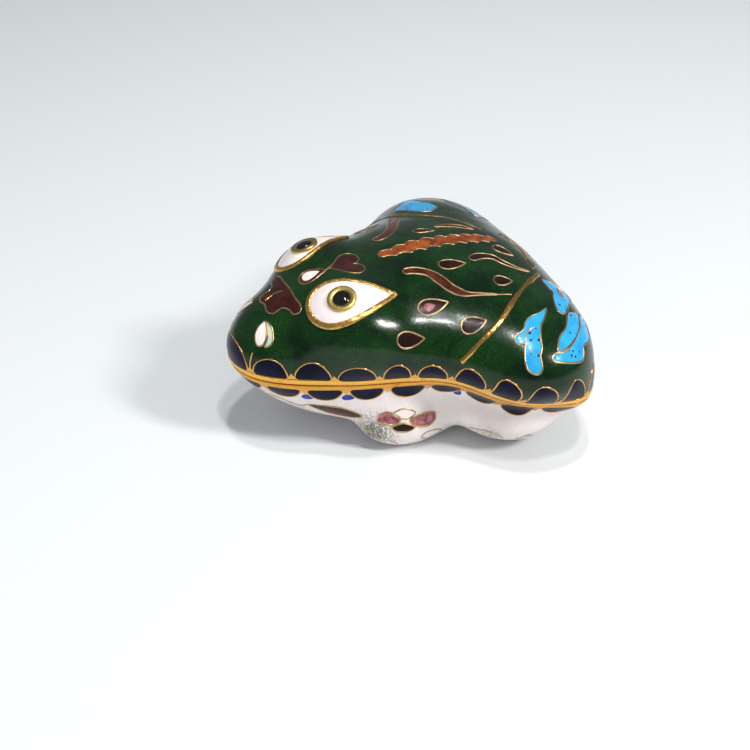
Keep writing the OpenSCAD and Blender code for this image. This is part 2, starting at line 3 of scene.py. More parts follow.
import bpy
import numpy as np
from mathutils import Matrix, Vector


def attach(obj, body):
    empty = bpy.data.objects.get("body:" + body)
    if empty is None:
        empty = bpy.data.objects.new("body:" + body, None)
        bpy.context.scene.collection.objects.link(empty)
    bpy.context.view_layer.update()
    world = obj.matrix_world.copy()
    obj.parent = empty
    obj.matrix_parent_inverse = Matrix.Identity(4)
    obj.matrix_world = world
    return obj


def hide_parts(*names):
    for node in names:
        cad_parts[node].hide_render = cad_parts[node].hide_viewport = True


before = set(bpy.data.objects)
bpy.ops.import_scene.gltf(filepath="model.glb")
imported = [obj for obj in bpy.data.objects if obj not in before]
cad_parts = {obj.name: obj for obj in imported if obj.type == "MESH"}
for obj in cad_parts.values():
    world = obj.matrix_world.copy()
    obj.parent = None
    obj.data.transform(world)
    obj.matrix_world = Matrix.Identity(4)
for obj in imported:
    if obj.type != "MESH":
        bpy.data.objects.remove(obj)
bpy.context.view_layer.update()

MM = 0.001
rng = np.random.default_rng(7)


def nothing_selected():
    """Clears the selection, because an operator acts on all that is selected."""
    bpy.ops.object.select_all(action='DESELECT')


# ---------------------------------------------------------------- camera, floor and light

nothing_selected()
EYE_POINT = Vector((0.2215, -0.0984, 0.1761))
AIM = Vector((0.01632, -0.0113, 0.0200))
bpy.ops.object.camera_add(location=EYE_POINT, rotation=(AIM - EYE_POINT).to_track_quat('-Z', 'Y').to_euler())
camera = bpy.context.object
camera.name = "camera"
camera.data.lens = 60
camera.data.sensor_width = 36
camera.data.clip_start = 0.01
camera.data.dof.use_dof = False
bpy.context.scene.camera = camera


def soft_light(name, at, size, power, colour, seen_in_gloss=True, long=None):
    """A studio softbox that points at the box, square unless it is given a second, longer side."""
    at = Vector(at)
    turn = (Vector((0, 0, 0.02)) - at).to_track_quat('-Z', 'Y').to_euler()
    bpy.ops.object.light_add(type='AREA', location=at, rotation=turn)
    light = bpy.context.object
    light.name = name
    light.data.shape = 'RECTANGLE'
    light.data.size = size
    light.data.size_y = long or size
    light.data.energy = power
    light.data.color = colour
    light.visible_glossy = seen_in_gloss


soft_light("ceiling_fill", (0.0, 0.1, 1.4), 2.6, 8.6, (0.97, 0.985, 1.0), seen_in_gloss=False)
soft_light("key_softbox", (0.43, 0.34, 0.50), 0.095, 3.2, (1.0, 0.98, 0.94), long=0.15)
soft_light("top_softbox", (0.20, -0.01, 0.60), 0.032, 1.0, (1.0, 0.99, 0.97), long=0.05)
soft_light("rear_softbox", (0.075, -0.02, 0.62), 0.034, 1.0, (1.0, 0.99, 0.97))
soft_light("front_fill", (0.75, -0.62, 0.42), 0.5, 1.5, (1.0, 0.97, 0.94), seen_in_gloss=False)

world = bpy.data.worlds.new("studio")
bpy.context.scene.world = world
world.use_nodes = True
room = world.node_tree.nodes["Background"].inputs
room["Color"].default_value = (0.80, 0.86, 0.92, 1)
room["Strength"].default_value = 0.24
bpy.context.scene.view_settings.view_transform = 'Standard'

# ---------------------------------------------------------------- materials


def group(name, inputs, outputs):
    """An empty node group with its sockets made, and the place of each point on the piece."""
    tree = bpy.data.node_groups.new(name, 'ShaderNodeTree')
    for label, kind, value in inputs:
        tree.interface.new_socket(label, in_out='INPUT', socket_type=kind).default_value = value
    for label, kind in outputs:
        tree.interface.new_socket(label, in_out='OUTPUT', socket_type=kind)
    ins, outs = tree.nodes.new('NodeGroupInput').outputs, tree.nodes.new('NodeGroupOutput').inputs
    return tree, ins, outs, place_on_piece(tree)


def feed(tree, value, socket):
    """Links a node's output to a socket, or sets the socket's own value."""
    if isinstance(value, bpy.types.NodeSocket):
        tree.links.new(value, socket)
    else:
        socket.default_value = value


def add(tree, kind, values=None, **settings):
    """A node with its settings, and its inputs fed."""
    node = tree.nodes.new(kind)
    for key, value in settings.items():
        setattr(node, key, value)
    for key, value in (values or {}).items():
        feed(tree, value, node.inputs[key])
    return node


def place_on_piece(tree):
    """The place of each point in the piece's own space."""
    return add(tree, 'ShaderNodeTexCoord').outputs["Object"]


def noise(tree, at, scale, detail, roughness=0.5, distortion=0.0):
    """An uneven value about 0.5. scale is how many times it changes in a metre."""
    values = {"Vector": at, "Scale": scale, "Detail": detail, "Roughness": roughness,
              "Distortion": distortion}
    return add(tree, 'ShaderNodeTexNoise', values).outputs["Fac"]


def blend_colours(tree, share, a, b):
    """Colour a, with a share of colour b."""
    return add(tree, 'ShaderNodeMix', {0: share, 6: a, 7: b}, data_type='RGBA').outputs[2]


def sums(tree, how, a, b, clamp=False):
    """One step of arithmetic."""
    return add(tree, 'ShaderNodeMath', {0: a, 1: b}, operation=how, use_clamp=clamp).outputs[0]


def spread(tree, value, low, high, to_low=0.0, to_high=1.0):
    """Maps low to high onto another range, and stops at its ends."""
    values = {"Value": value, "From Min": low, "From Max": high, "To Min": to_low, "To Max": to_high}
    return add(tree, 'ShaderNodeMapRange', values).outputs[0]


def make_mottling():
    """Cloudy colour of ground enamel, between a deep and a thin tone, with fine grains of frit."""
    tree, ins, outs, at = group("enamel mottling", [
        ("Deep", 'NodeSocketColor', (0, 0, 0, 1)), ("Thin", 'NodeSocketColor', (1, 1, 1, 1)),
        ("Grain", 'NodeSocketColor', (1, 1, 1, 1)), ("Cloud size", 'NodeSocketFloat', 250.0),
        ("Grain share", 'NodeSocketFloat', 0.3)], [("Colour", 'NodeSocketColor'), ("Grit",
                                                                                   'NodeSocketFloat')])
    soft = spread(tree, noise(tree, at, ins["Cloud size"], 4.0, 0.6, 0.6), 0.36, 0.66)
    grain = spread(tree, noise(tree, at, 2600.0, 2.0, 0.7), 0.60, 0.74)
    share = sums(tree, 'MULTIPLY', sums(tree, 'MULTIPLY', grain, soft), ins["Grain share"])
    tone = blend_colours(tree, soft, ins["Deep"], ins["Thin"])
    feed(tree, blend_colours(tree, share, tone, ins["Grain"]), outs["Colour"])
    feed(tree, sums(tree, 'MULTIPLY', grain, sums(tree, 'ADD', soft, 0.3)), outs["Grit"])
    return tree


def make_pinholes():
    """Burst gas bubbles: a few tiny dark pits, as a mask and as a height."""
    tree, ins, outs, at = group("pinholes", [
        ("Spacing", 'NodeSocketFloat', 700.0), ("Share", 'NodeSocketFloat', 0.3),
        ("Size", 'NodeSocketFloat', 0.14)], [("Mask", 'NodeSocketFloat'), ("Height", 'NodeSocketFloat')])
    bubbles = add(tree, 'ShaderNodeTexVoronoi', {"Vector": at, "Scale": ins["Spacing"], "Randomness": 1.0})
    pick = add(tree, 'ShaderNodeSeparateColor', {"Color": bubbles.outputs["Color"]})
    chosen = sums(tree, 'LESS_THAN', pick.outputs[0], ins["Share"])
    radius = sums(tree, 'MULTIPLY', ins["Size"], sums(tree, 'ADD', 0.4, pick.outputs[1]))
    near = sums(tree, 'SUBTRACT', 1.0, sums(tree, 'DIVIDE', bubbles.outputs["Distance"], radius), clamp=True)
    pit = sums(tree, 'MULTIPLY', chosen, sums(tree, 'MULTIPLY', near, 2.5, clamp=True))
    feed(tree, pit, outs["Mask"])
    feed(tree, sums(tree, 'MULTIPLY', pit, -1.0), outs["Height"])
    return tree


def make_polish():
    """A surface ground flat by hand: slow waves, orange peel and a few hairline scratches."""
    tree, ins, outs, at = group("hand polish", [
        ("Waves", 'NodeSocketFloat', 160.0), ("Scratches", 'NodeSocketFloat', 0.15)],
        [("Height", 'NodeSocketFloat'), ("Dulling", 'NodeSocketFloat')])
    peel = noise(tree, at, 1300.0, 2.0)
    turned = add(tree, 'ShaderNodeMapping', {"Vector": at, "Rotation": (0.4, 0.9, 0.7), "Scale": (1.0, 1.0,
                                                                                                  0.04)})
    lines = noise(tree, turned.outputs[0], 4200.0, 1.0)
    scratch = sums(tree, 'MULTIPLY', spread(tree, lines, 0.66, 0.74), ins["Scratches"])
    body = sums(tree, 'ADD', noise(tree, at, ins["Waves"], 1.0), sums(tree, 'MULTIPLY', peel, 0.10))
    feed(tree, sums(tree, 'SUBTRACT', body, sums(tree, 'MULTIPLY', scratch, 0.2)), outs["Height"])
    feed(tree, scratch, outs["Dulling"])
    return tree


def make_tarnish():
    """Gilding worn and tarnished in patches: a colour, a roughness and a height."""
    tree, ins, outs, at = group("gilt tarnish", [
        ("Gold", 'NodeSocketColor', (1, 0.8, 0.3, 1)), ("Tarnish", 'NodeSocketColor', (0.3, 0.15, 0.05, 1)),
        ("Patch size", 'NodeSocketFloat', 400.0), ("Share", 'NodeSocketFloat', 0.5),
        ("Low gloss", 'NodeSocketFloat', 0.25), ("High gloss", 'NodeSocketFloat', 0.5)],
        [("Colour", 'NodeSocketColor'), ("Roughness", 'NodeSocketFloat'), ("Height", 'NodeSocketFloat')])
    patch = noise(tree, at, ins["Patch size"], 5.0, 0.7)
    start = sums(tree, 'SUBTRACT', 0.78, sums(tree, 'MULTIPLY', ins["Share"], 0.4))
    worn = sums(tree, 'MULTIPLY', sums(tree, 'SUBTRACT', patch, start), 5.0, clamp=True)
    pits = noise(tree, at, 3000.0, 3.0, 0.7)
    speck = spread(tree, pits, 0.62, 0.72)
    both = sums(tree, 'MAXIMUM', worn, sums(tree, 'MULTIPLY', speck, 0.6))
    feed(tree, blend_colours(tree, both, ins["Gold"], ins["Tarnish"]), outs["Colour"])
    feed(tree, spread(tree, both, 0.0, 1.0, ins["Low gloss"], ins["High gloss"]), outs["Roughness"])
    feed(tree, sums(tree, 'SUBTRACT', sums(tree, 'MULTIPLY', pits, 0.5), speck), outs["Height"])
    return tree


MOTTLING, PINHOLES, POLISH, TARNISH = make_mottling(), make_pinholes(), make_polish(), make_tarnish()


def use(tree, shared, values):
    """A shared effect placed in a material, with its own values."""
    node = add(tree, 'ShaderNodeGroup', node_tree=shared)
    for key, value in values.items():
        node.inputs[key].default_value = value
    return node.outputs


def fresh(name):
    """A new material, its node tree and its shader's inputs."""
    material = bpy.data.materials.new(name)
    material.use_nodes = True
    tree = material.node_tree
    return material, tree, tree.nodes["Principled BSDF"].inputs


def raise_surface(tree, shader, height, strength, depth):
    """Lets a height tilt the shading. depth is in metres."""
    bump = add(tree, 'ShaderNodeBump', {"Height": height, "Strength": strength, "Distance": depth})
    feed(tree, bump.outputs[0], shader["Normal"])


def enamel(name, deep, thin, grain, cloud=250.0, grain_share=0.3, pits=(700.0, 0.25, 0.12), pit_dark=0.85,
           rough=0.22, coat=0.15, shine=0.5, veil=0.5, grit=0.15, frost_and_shade_places=None):
    """Glassy enamel. veil is how much of its surroundings it mirrors, grit how dull its frit grains are."""
    material, tree, shader = fresh(name)
    colour = use(tree, MOTTLING, {"Deep": (*deep, 1), "Thin": (*thin, 1), "Grain": (*grain, 1),
                                  "Cloud size": cloud, "Grain share": grain_share})
    holes = use(tree, PINHOLES, {"Spacing": pits[0], "Share": pits[1], "Size": pits[2]})
    polish = use(tree, POLISH, {"Waves": 150.0, "Scratches": 0.2})
    base = frost_and_painted_shade(tree, colour["Colour"], frost_and_shade_places) if frost_and_shade_places else colour["Colour"]
    dark = sums(tree, 'MULTIPLY', holes["Mask"], pit_dark)
    feed(tree, blend_colours(tree, dark, base, (0.012, 0.010, 0.010, 1)), shader["Base Color"])
    dull = sums(tree, 'ADD', sums(tree, 'MULTIPLY', polish["Dulling"], 0.4),
                sums(tree, 'MULTIPLY', colour["Grit"], grit))
    feed(tree, sums(tree, 'ADD', dull, rough), shader["Roughness"])
    height = sums(tree, 'ADD', polish["Height"], sums(tree, 'MULTIPLY', holes["Height"], 0.35))
    raise_surface(tree, shader, height, 0.5, 0.00030)
    shader["IOR"].default_value = 1.5
    shader["Specular IOR Level"].default_value = shine
    shader["Specular Tint"].default_value = (veil, veil, veil, 1)
    shader["Coat Weight"].default_value = coat
    shader["Coat Roughness"].default_value = 0.06
    return material


def frost_and_painted_shade(tree, base, frost_and_shade_places):
    """Grey grains that fade out with distance from given places: at the front legs they are painted shade on
    the legs' front-facing sides, elsewhere dull frost where the enamel is thin.
    """
    at = place_on_piece(tree)
    nearest = None
    for place, size in frost_and_shade_places:
        apart = add(tree, 'ShaderNodeVectorMath', {0: at, 1: place}, operation='DISTANCE').outputs["Value"]
        here = spread(tree, apart, size, size * 0.2)
        nearest = here if nearest is None else sums(tree, 'MAXIMUM', nearest, here)
    grains = sums(tree, 'ADD', noise(tree, at, 1900.0, 3.0, 0.75), sums(tree, 'MULTIPLY', nearest, 0.20))
    share = sums(tree, 'MULTIPLY', spread(tree, grains, 0.55, 0.70), nearest)
    # the grey mixed in here is painted shade at the front legs and frost at the other places
    return blend_colours(tree, share, base, (0.15, 0.17, 0.14, 1))


def gilt(name, gold, tarnish, patch=400.0, share=0.5, gloss=(0.25, 0.5), bump=0.3):
    """Gilding or bare metal, worn in patches. gloss is the roughness of the clean and of the worn metal."""
    material, tree, shader = fresh(name)
    wear = use(tree, TARNISH, {"Gold": (*gold, 1), "Tarnish": (*tarnish, 1), "Patch size": patch,
                               "Share": share,
                               "Low gloss": gloss[0], "High gloss": gloss[1]})
    feed(tree, wear["Colour"], shader["Base Color"])
    feed(tree, wear["Roughness"], shader["Roughness"])
    raise_surface(tree, shader, wear["Height"], bump, 0.00012)
    shader["Metallic"].default_value = 1.0
    return material


LOOKS = {
    "green": enamel("dark green enamel", (0.0008, 0.010, 0.0024), (0.0045, 0.034, 0.0045),
                    (0.045, 0.12, 0.03),
                    cloud=110.0, grain_share=0.55, pits=(420.0, 0.10, 0.10), rough=0.19, coat=0.10, shine=0.6,
                    veil=0.45, grit=0.55),
    "navy": enamel("navy enamel", (0.0015, 0.0018, 0.012), (0.003, 0.004, 0.030), (0.02, 0.03, 0.09),
                   grain_share=0.3, pits=(500.0, 0.12, 0.10), rough=0.28, coat=0.03, shine=0.3, veil=0.22),
    "bright_blue": enamel("bright blue enamel", (0.004, 0.02, 0.25), (0.01, 0.05, 0.42), (0.1, 0.2, 0.6)),
    "turquoise": enamel("turquoise enamel", (0.018, 0.30, 0.62), (0.035, 0.39, 0.70), (0.10, 0.52, 0.80),
                        cloud=300.0, pits=(820.0, 0.75, 0.27), pit_dark=1.0, rough=0.24, coat=0.12),
    "white": enamel("pinkish white enamel", (0.79, 0.70, 0.685), (0.87, 0.80, 0.785), (0.93, 0.90, 0.88),
                    cloud=140.0, pits=(360.0, 0.18, 0.09), pit_dark=0.75, rough=0.25, coat=0.12, shine=0.4,
                    # the two places on the front legs mark painted shade, the other two mark frost
                    frost_and_shade_places=[((0.0185, -0.0125, 0.0062), 0.0085), ((-0.0185, -0.0125, 0.0062), 0.0065),
                           ((0.030, 0.010, 0.005), 0.005), ((-0.026, 0.026, 0.004), 0.006)]),
    "eye_white": enamel("eye white enamel", (0.80, 0.70, 0.69), (0.90, 0.83, 0.82), (0.95, 0.93, 0.92),
                        cloud=160.0, pits=(300.0, 0.08, 0.08), rough=0.3, coat=0.1),
    "rust": enamel("rust orange enamel", (0.12, 0.024, 0.006), (0.36, 0.080, 0.016), (0.55, 0.17, 0.04),
                   cloud=380.0, grain_share=0.6, pits=(600.0, 0.3, 0.12), rough=0.25, coat=0.06, veil=0.3),
    "brown": enamel("brown enamel", (0.030, 0.008, 0.005), (0.11, 0.027, 0.013), (0.24, 0.08, 0.04),
                    cloud=380.0, grain_share=0.4, rough=0.25, coat=0.05, veil=0.25),
    "maroon": enamel("maroon enamel", (0.026, 0.006, 0.006), (0.052, 0.011, 0.010), (0.13, 0.04, 0.03),
                     cloud=330.0, grain_share=0.3, rough=0.25, coat=0.05, veil=0.25),
    "dark_drop": enamel("near black brown enamel", (0.009, 0.004, 0.004), (0.026, 0.008, 0.007),
                        (0.10, 0.04, 0.03), cloud=330.0, rough=0.25, coat=0.04, veil=0.22),
    "pink": enamel("rose enamel", (0.15, 0.025, 0.035), (0.52, 0.20, 0.22), (0.75, 0.48, 0.48),
                   cloud=560.0, grain_share=0.5, rough=0.3),
    "pale_green": enamel("pale green enamel", (0.38, 0.52, 0.40), (0.62, 0.72, 0.62), (0.8, 0.86, 0.8)),
    "lining": enamel("turquoise counter enamel", (0.02, 0.20, 0.30), (0.05, 0.36, 0.46), (0.2, 0.5, 0.6),
                     cloud=120.0, pits=(420.0, 0.3, 0.14), rough=0.2),
    "band": gilt("gilt rim band", (0.86, 0.46, 0.085), (0.26, 0.09, 0.014), patch=230.0, share=0.40,
                 gloss=(0.20, 0.42), bump=0.25),
    # The lower band is a darker copy of the upper band's gilding: the darker gold is painted shade, and the
    # larger tarnish share adds more worn patches.
    "shaded_low_band": gilt("gilt lower band darkened as shade", (0.74, 0.35, 0.055), (0.17, 0.055, 0.010), patch=230.0, share=0.55,
                     gloss=(0.20, 0.42), bump=0.25),
    "wire": gilt("gilt wire", (0.60, 0.40, 0.20), (0.20, 0.12, 0.06), patch=330.0, share=0.70,
                 gloss=(0.30, 0.55), bump=0.35),
    "rim_wire": gilt("bright gilt wire", (0.70, 0.38, 0.10), (0.30, 0.14, 0.04), patch=330.0, share=0.38,
                     gloss=(0.26, 0.5), bump=0.3),
    "eye_border": gilt("hammered gilt border", (0.85, 0.50, 0.14), (0.20, 0.085, 0.025), patch=900.0,
                       share=0.62, gloss=(0.28, 0.6), bump=0.9),
    "cup": gilt("iris brass", (0.66, 0.49, 0.15), (0.20, 0.13, 0.035), patch=420.0, share=0.62,
                gloss=(0.34, 0.52), bump=0.3),
    "copper": gilt("formed copper", (0.70, 0.33, 0.20), (0.22, 0.09, 0.06), patch=200.0, share=0.6,
                   gloss=(0.30, 0.55)),
}


def bead_glass():
    """Black glass, hazed a little by handling."""
    material, tree, shader = fresh("black bead glass")
    polish = use(tree, POLISH, {"Waves": 500.0, "Scratches": 0.25})
    haze = spread(tree, noise(tree, place_on_piece(tree), 900.0, 3.0), 0.5, 0.8)
    tint = blend_colours(tree, haze, (0.0022, 0.0020, 0.0024, 1), (0.012, 0.008, 0.006, 1))
    feed(tree, tint, shader["Base Color"])
    feed(tree, sums(tree, 'ADD', polish["Dulling"], 0.06), shader["Roughness"])
    raise_surface(tree, shader, polish["Height"], 0.25, 0.00012)
    shader["Coat Weight"].default_value = 0.5
    return material


LOOKS["bead"] = bead_glass()


def floor_paper():
    """Pale paper with faint clouds and fibres."""
    material, tree, shader = fresh("pale studio paper")
    at = place_on_piece(tree)
    mix = sums(tree, 'ADD', sums(tree, 'MULTIPLY', noise(tree, at, 2.2, 1.0), 0.8),
               sums(tree, 'MULTIPLY', noise(tree, at, 900.0, 3.0), 0.2))
    feed(tree, blend_colours(tree, mix, (0.66, 0.69, 0.71, 1), (0.80, 0.83, 0.85, 1)), shader["Base Color"])
    shader["Roughness"].default_value = 0.85
    shader["Specular IOR Level"].default_value = 0.2
    return material


nothing_selected()
bpy.ops.mesh.primitive_grid_add(x_subdivisions=8, y_subdivisions=8, size=6, location=(0, 0, 0))
floor = bpy.context.object
floor.name = "floor"
floor.data.materials.append(floor_paper())

# ---------------------------------------------------------------- the frog's form, in millimetres

# Rounded lumps that blend into the frog: centre x, y, z, then half sizes. Off-centre lumps are paired.
LUMPS = np.array([
    [0, 8.5, 26.5, 27, 27.5, 13.5],       # torso
    [0, -13, 23, 16, 26, 13.5],           # head
    [8.5, -14, 29.5, 11, 9.5, 9.5],       # brow
    [21, 20.5, 24, 19.5, 15, 11],         # haunch
    [15.5, -2.5, 5.6, 6, 10.5, 6],        # fore foot
    [18, 19.5, 8.5, 15, 13, 9],           # hind foot
    [0, 1.5, 12, 19.5, 28, 9.5],          # belly
    [0, 28.5, 16, 35, 9.5, 9.5],          # rump
])
BODY = np.vstack([LUMPS, LUMPS[LUMPS[:, 0] > 0] * [-1, 1, 1, 1, 1, 1]])
BLEND = 2.2
CORE = np.array([0, 1.5, 18.0])
RIM_HEIGHT, RIM_DIP = 20.0, 3.5
DIP_FROM, DIP_OVER = 2, 27      # degrees behind the frog's middle
BAND_H, BAND_PROUD, JOINT_GAP = 1.7, 0.3, 0.1
ENAMEL, COPPER, LINING = 0.7, 0.8, 0.4
FOOT_CLEAR = 0.15


def unit(v):
    """v at length 1."""
    return v / np.linalg.norm(v, axis=-1, keepdims=True)


def lumps_at(p):
    """How strongly each lump is felt at p. The skin is where they sum to 1."""
    return np.exp(BLEND * (1 - (((p[..., None, :] - BODY[:, :3]) / BODY[:, 3:]) ** 2).sum(-1)))


def reach(start, along, near=4.0, far=60.0):
    """How far the skin is from a start inside the form, along a direction."""
    low, high = np.full(along.shape[:-1], near), np.full(along.shape[:-1], far)
    for _ in range(20):
        middle = (low + high) / 2
        inside = lumps_at(start + middle[..., None] * along).sum(-1) > 1
        low, high = np.where(inside, middle, low), np.where(inside, high, middle)
    return low


def on_skin(p):
    """Moves points to the skin, along lines from the core."""
    along = unit(np.asarray(p, float) - CORE)
    return CORE + reach(CORE, along)[..., None] * along


def outward(p):
    """The skin's normal at p."""
    return unit((lumps_at(p)[..., None] * (p[..., None, :] - BODY[:, :3]) / BODY[:, 3:] ** 2).sum(-2))


def slant(p, along):
    """How much longer a step along a direction is than the same step square to the skin."""
    return 1 / np.maximum(0.5, (outward(p) * along).sum(-1))


def joint_z(a):
    """The height of the joint at an angle: level at the head, lower over the haunches."""
    t = np.clip((np.degrees(np.arcsin(np.sin(a))) - DIP_FROM) / DIP_OVER, 0, 1)
    return RIM_HEIGHT - RIM_DIP * t * t * (3 - 2 * t)


def wall(a, height, out=0.0):
    """A point of the outer wall at an angle, a height from the joint and a distance outwards."""
    a, height, out = np.broadcast_arrays(np.asarray(a, float), height, out)
    axis = np.stack([0 * a, 0 * a + CORE[1], joint_z(a) + height], -1)
    along = np.stack([np.cos(a), np.sin(a), 0 * a], -1)
    p = axis + reach(axis, along)[..., None] * along
    return p + (out * slant(p, along))[..., None] * along


def run_along(line):
    """The length of a line up to each of its points."""
    return np.concatenate([[0], np.cumsum(np.linalg.norm(np.diff(line, axis=0), axis=1))])


# Places along the joint are lengths in mm from the nose, negative on the frog's right
RIM_ANGLES = np.radians(np.arange(-90, 91, 1.0))
RIM_LENGTHS = run_along(wall(RIM_ANGLES, 0))
HALF_RIM = RIM_LENGTHS[-1]


def rim(s, height):
    """Points of the outer wall at places along the joint and a height from it."""
    a = np.interp(np.abs(s), RIM_LENGTHS, RIM_ANGLES)
    return wall(np.where(np.asarray(s) >= 0, a, -math.pi - a), height)


# ---------------------------------------------------------------- outlines


def rounded(points, steps, closed=False):
    """A smooth line through given points, evenly spaced."""
    p = np.asarray(points, float)
    n = len(p)
    if closed:
        q = np.vstack([p[-1:], p, p[:2]])
        spans = n
    else:
        q = np.vstack([2 * p[:1] - p[1:2], p, 2 * p[-1:] - p[-2:-1]])
        spans = n - 1
    t = np.linspace(0, spans, spans * 16 + 1)
    k = np.minimum(t.astype(int), spans - 1)
    f = (t - k)[:, None]
    a, b, c, d = q[k], q[k + 1], q[k + 2], q[k + 3]
    line = 0.5 * (2 * b + (c - a) * f + (2 * a - 5 * b + 4 * c - d) * f ** 2
                  + (3 * b - a - 3 * c + d) * f ** 3)
    run = run_along(line)
    goal = np.linspace(0, run[-1], steps, endpoint=not closed)
    return np.stack([np.interp(goal, run, line[:, i]) for i in range(line.shape[1])], -1)


def sideways(line, closed=False):
    """Unit steps across a surface line."""
    if closed:
        along = np.roll(line, -1, 0) - np.roll(line, 1, 0)
    else:
        along = np.gradient(line, axis=0)
    return unit(np.cross(outward(line), along))


def leaf(points, widths, steps=40, wavy=0.0, waves=0):
    """The closed outline round a centre line, with a width at each of its points and rounded ends."""
    line = on_skin(rounded(points, steps))
    t = np.linspace(0, 1, steps)
    half = np.interp(t, np.linspace(0, 1, len(widths)), widths) / 2
    length = run_along(line)[-1]
    for end, from_end in ((half[0], t * length), (half[-1], (1 - t) * length)):
        nose = np.clip(from_end / max(end, 0.2), 0, 1)
        half = half * np.sqrt(np.clip(nose * (2 - nose), 0.02, 1))
    side = sideways(line)
    bump = np.abs(np.sin(math.pi * waves * t))
    left, right = half * (1 + wavy * (2 * bump - 1)), half * (1 + wavy * (1 - 2 * bump))
    return on_skin(np.vstack([line + side * left[:, None], (line - side * right[:, None])[::-1]]))


def drop(round_end, tip, width, steps=44):
    """A teardrop between two points."""
    a, b = np.asarray(round_end, float), np.asarray(tip, float)
    side = unit(np.cross(outward(on_skin((a + b) / 2)), b - a))
    t = np.linspace(0, 2 * math.pi, steps, endpoint=False)
    along = (1 + np.cos(t)) / 2
    return on_skin(a + (b - a) * along[:, None] + np.outer(width / 2 / 0.77 * np.sin(t) * np.sin(t / 2),
                                                           side))


def heart(point, top, width, steps=56):
    """A heart from its point to its top."""
    a, b = np.asarray(point, float), np.asarray(top, float)
    side = unit(np.cross(outward(on_skin((a + b) / 2)), b - a))
    t = np.linspace(0, 2 * math.pi, steps, endpoint=False)
    high = (17 + 13 * np.cos(t) - 5 * np.cos(2 * t) - 2 * np.cos(3 * t) - np.cos(4 * t)) / 29
    return on_skin(a + (b - a) * high[:, None] + np.outer(width / 2 * np.sin(t) ** 3, side))


def blob(points, steps=56):
    """A free closed outline through its points."""
    return on_skin(rounded(points, steps, closed=True))


def other_side(shape):
    """The same outline on the frog's right."""
    return shape[::-1] * [-1, 1, 1]


def mirrored_pair(shape):
    """An outline and its copy on the frog's right."""
    return [shape, other_side(shape)]


# ---------------------------------------------------------------- making pieces


def read_points(ob):
    """A mesh's points, in metres."""
    co = np.empty(len(ob.data.vertices) * 3)
    ob.data.vertices.foreach_get("co", co)
    return co.reshape(-1, 3)


def write_points(ob, p):
    ob.data.vertices.foreach_set("co", np.ascontiguousarray(p, float).ravel())
    ob.data.update()


def alone(ob):
    """Selects one piece and makes it the active one."""
    nothing_selected()
    ob.select_set(True)
    bpy.context.view_layer.objects.active = ob


def edit(*steps):
    """Runs edit-mode steps on all of the active mesh."""
    bpy.ops.object.mode_set(mode='EDIT')
    bpy.ops.mesh.select_all(action='SELECT')
    for step, settings in steps:
        getattr(bpy.ops.mesh, step)(**settings)
    bpy.ops.object.mode_set(mode='OBJECT')


def delete_parts(kind, parts, chosen):
    """Deletes the chosen vertices or edges of the active mesh. chosen says which ones."""
    bpy.ops.object.mode_set(mode='EDIT')
    bpy.ops.mesh.select_mode(type=kind)
    bpy.ops.mesh.select_all(action='DESELECT')
    bpy.ops.object.mode_set(mode='OBJECT')
    for part in parts:
        part.select = chosen(part)
    bpy.ops.object.mode_set(mode='EDIT')
    bpy.ops.mesh.delete(type=kind)
    bpy.ops.mesh.select_mode(type='VERT')
    bpy.ops.object.mode_set(mode='OBJECT')


def thicken(ob, thickness):
    """Gives a sheet its thickness, inwards."""
    alone(ob)
    solid = ob.modifiers.new("thickness", 'SOLIDIFY')
    solid.thickness = thickness * MM
    solid.offset = -1
    bpy.ops.object.modifier_apply(modifier=solid.name)


def settle(ob, name, look, body, *nodes):
    """Names a finished piece, gives it its finish, ties it to its body and hides the CAD nodes it stands in
    for.
    """
    alone(ob)
    bpy.ops.object.shade_smooth_by_angle(angle=math.radians(50))
    ob.name = name
    ob.data.name = name
    ob.data.materials.clear()
    ob.data.materials.append(LOOKS[look])
    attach(ob, body)
    if nodes:
        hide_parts(*nodes)
    return ob


def joined(obs):
    """Makes one mesh of several."""
    nothing_selected()
    for ob in obs:
        ob.select_set(True)
    bpy.context.view_layer.objects.active = obs[0]
    if len(obs) > 1:
        bpy.ops.object.join()
    return bpy.context.object


SKIN_GRID, INNER_GRID = (288, 144), (160, 80)


def half_wall(side, depth, thickness, start, grid=INNER_GRID):
    """A wall of one half: half a sphere, drawn out to the frog's form from the joint to the pole."""
    nothing_selected()
    bpy.ops.mesh.primitive_uv_sphere_add(segments=grid[0], ring_count=grid[1], radius=1)
    ob = bpy.context.object
    delete_parts('VERT', ob.data.vertices, lambda v: side * v.co.z < -0.001)
    p = read_points(ob)
    a = np.arctan2(p[:, 1], p[:, 0])
    share = np.degrees(np.arcsin(np.clip(side * p[:, 2], -1, 1))) / 90
    first = np.arcsin(unit(wall(a, side * start) - CORE)[:, 2])
    e = first + (side * math.pi / 2 - first) * share
    along = np.stack([np.cos(a) * np.cos(e), np.sin(a) * np.cos(e), np.sin(e)], -1)
    far = reach(CORE, along)
    down = along[:, 2] < -0.01
    far[down] = np.minimum(far[down], (FOOT_CLEAR - CORE[2]) / along[down, 2])
    skin = CORE + far[:, None] * along
    if depth:
        skin = skin - (depth * slant(skin, along))[:, None] * along
    write_points(ob, skin * MM)
    thicken(ob, thickness)
    return ob


def ring(place, around=288, sides=16):
    """A torus drawn to a closed moulding: place(turn, corner) gives its points."""
    nothing_selected()
    bpy.ops.mesh.primitive_torus_add(major_segments=around, minor_segments=sides, major_radius=1,
                                     minor_radius=0.3)
    ob = bpy.context.object
    p = read_points(ob)
    turn = np.arctan2(p[:, 1], p[:, 0])
    corner = np.arctan2(p[:, 2], np.hypot(p[:, 0], p[:, 1]) - 1)
    write_points(ob, place(turn, corner) * MM)
    return ob


def boxy(corner, power=4.0):
    """A rounded square section: across and up, from -1 to 1."""
    c, s = np.cos(corner), np.sin(corner)
    size = (np.abs(c) ** power + np.abs(s) ** power) ** (-1 / power)
    return c * size, s * size


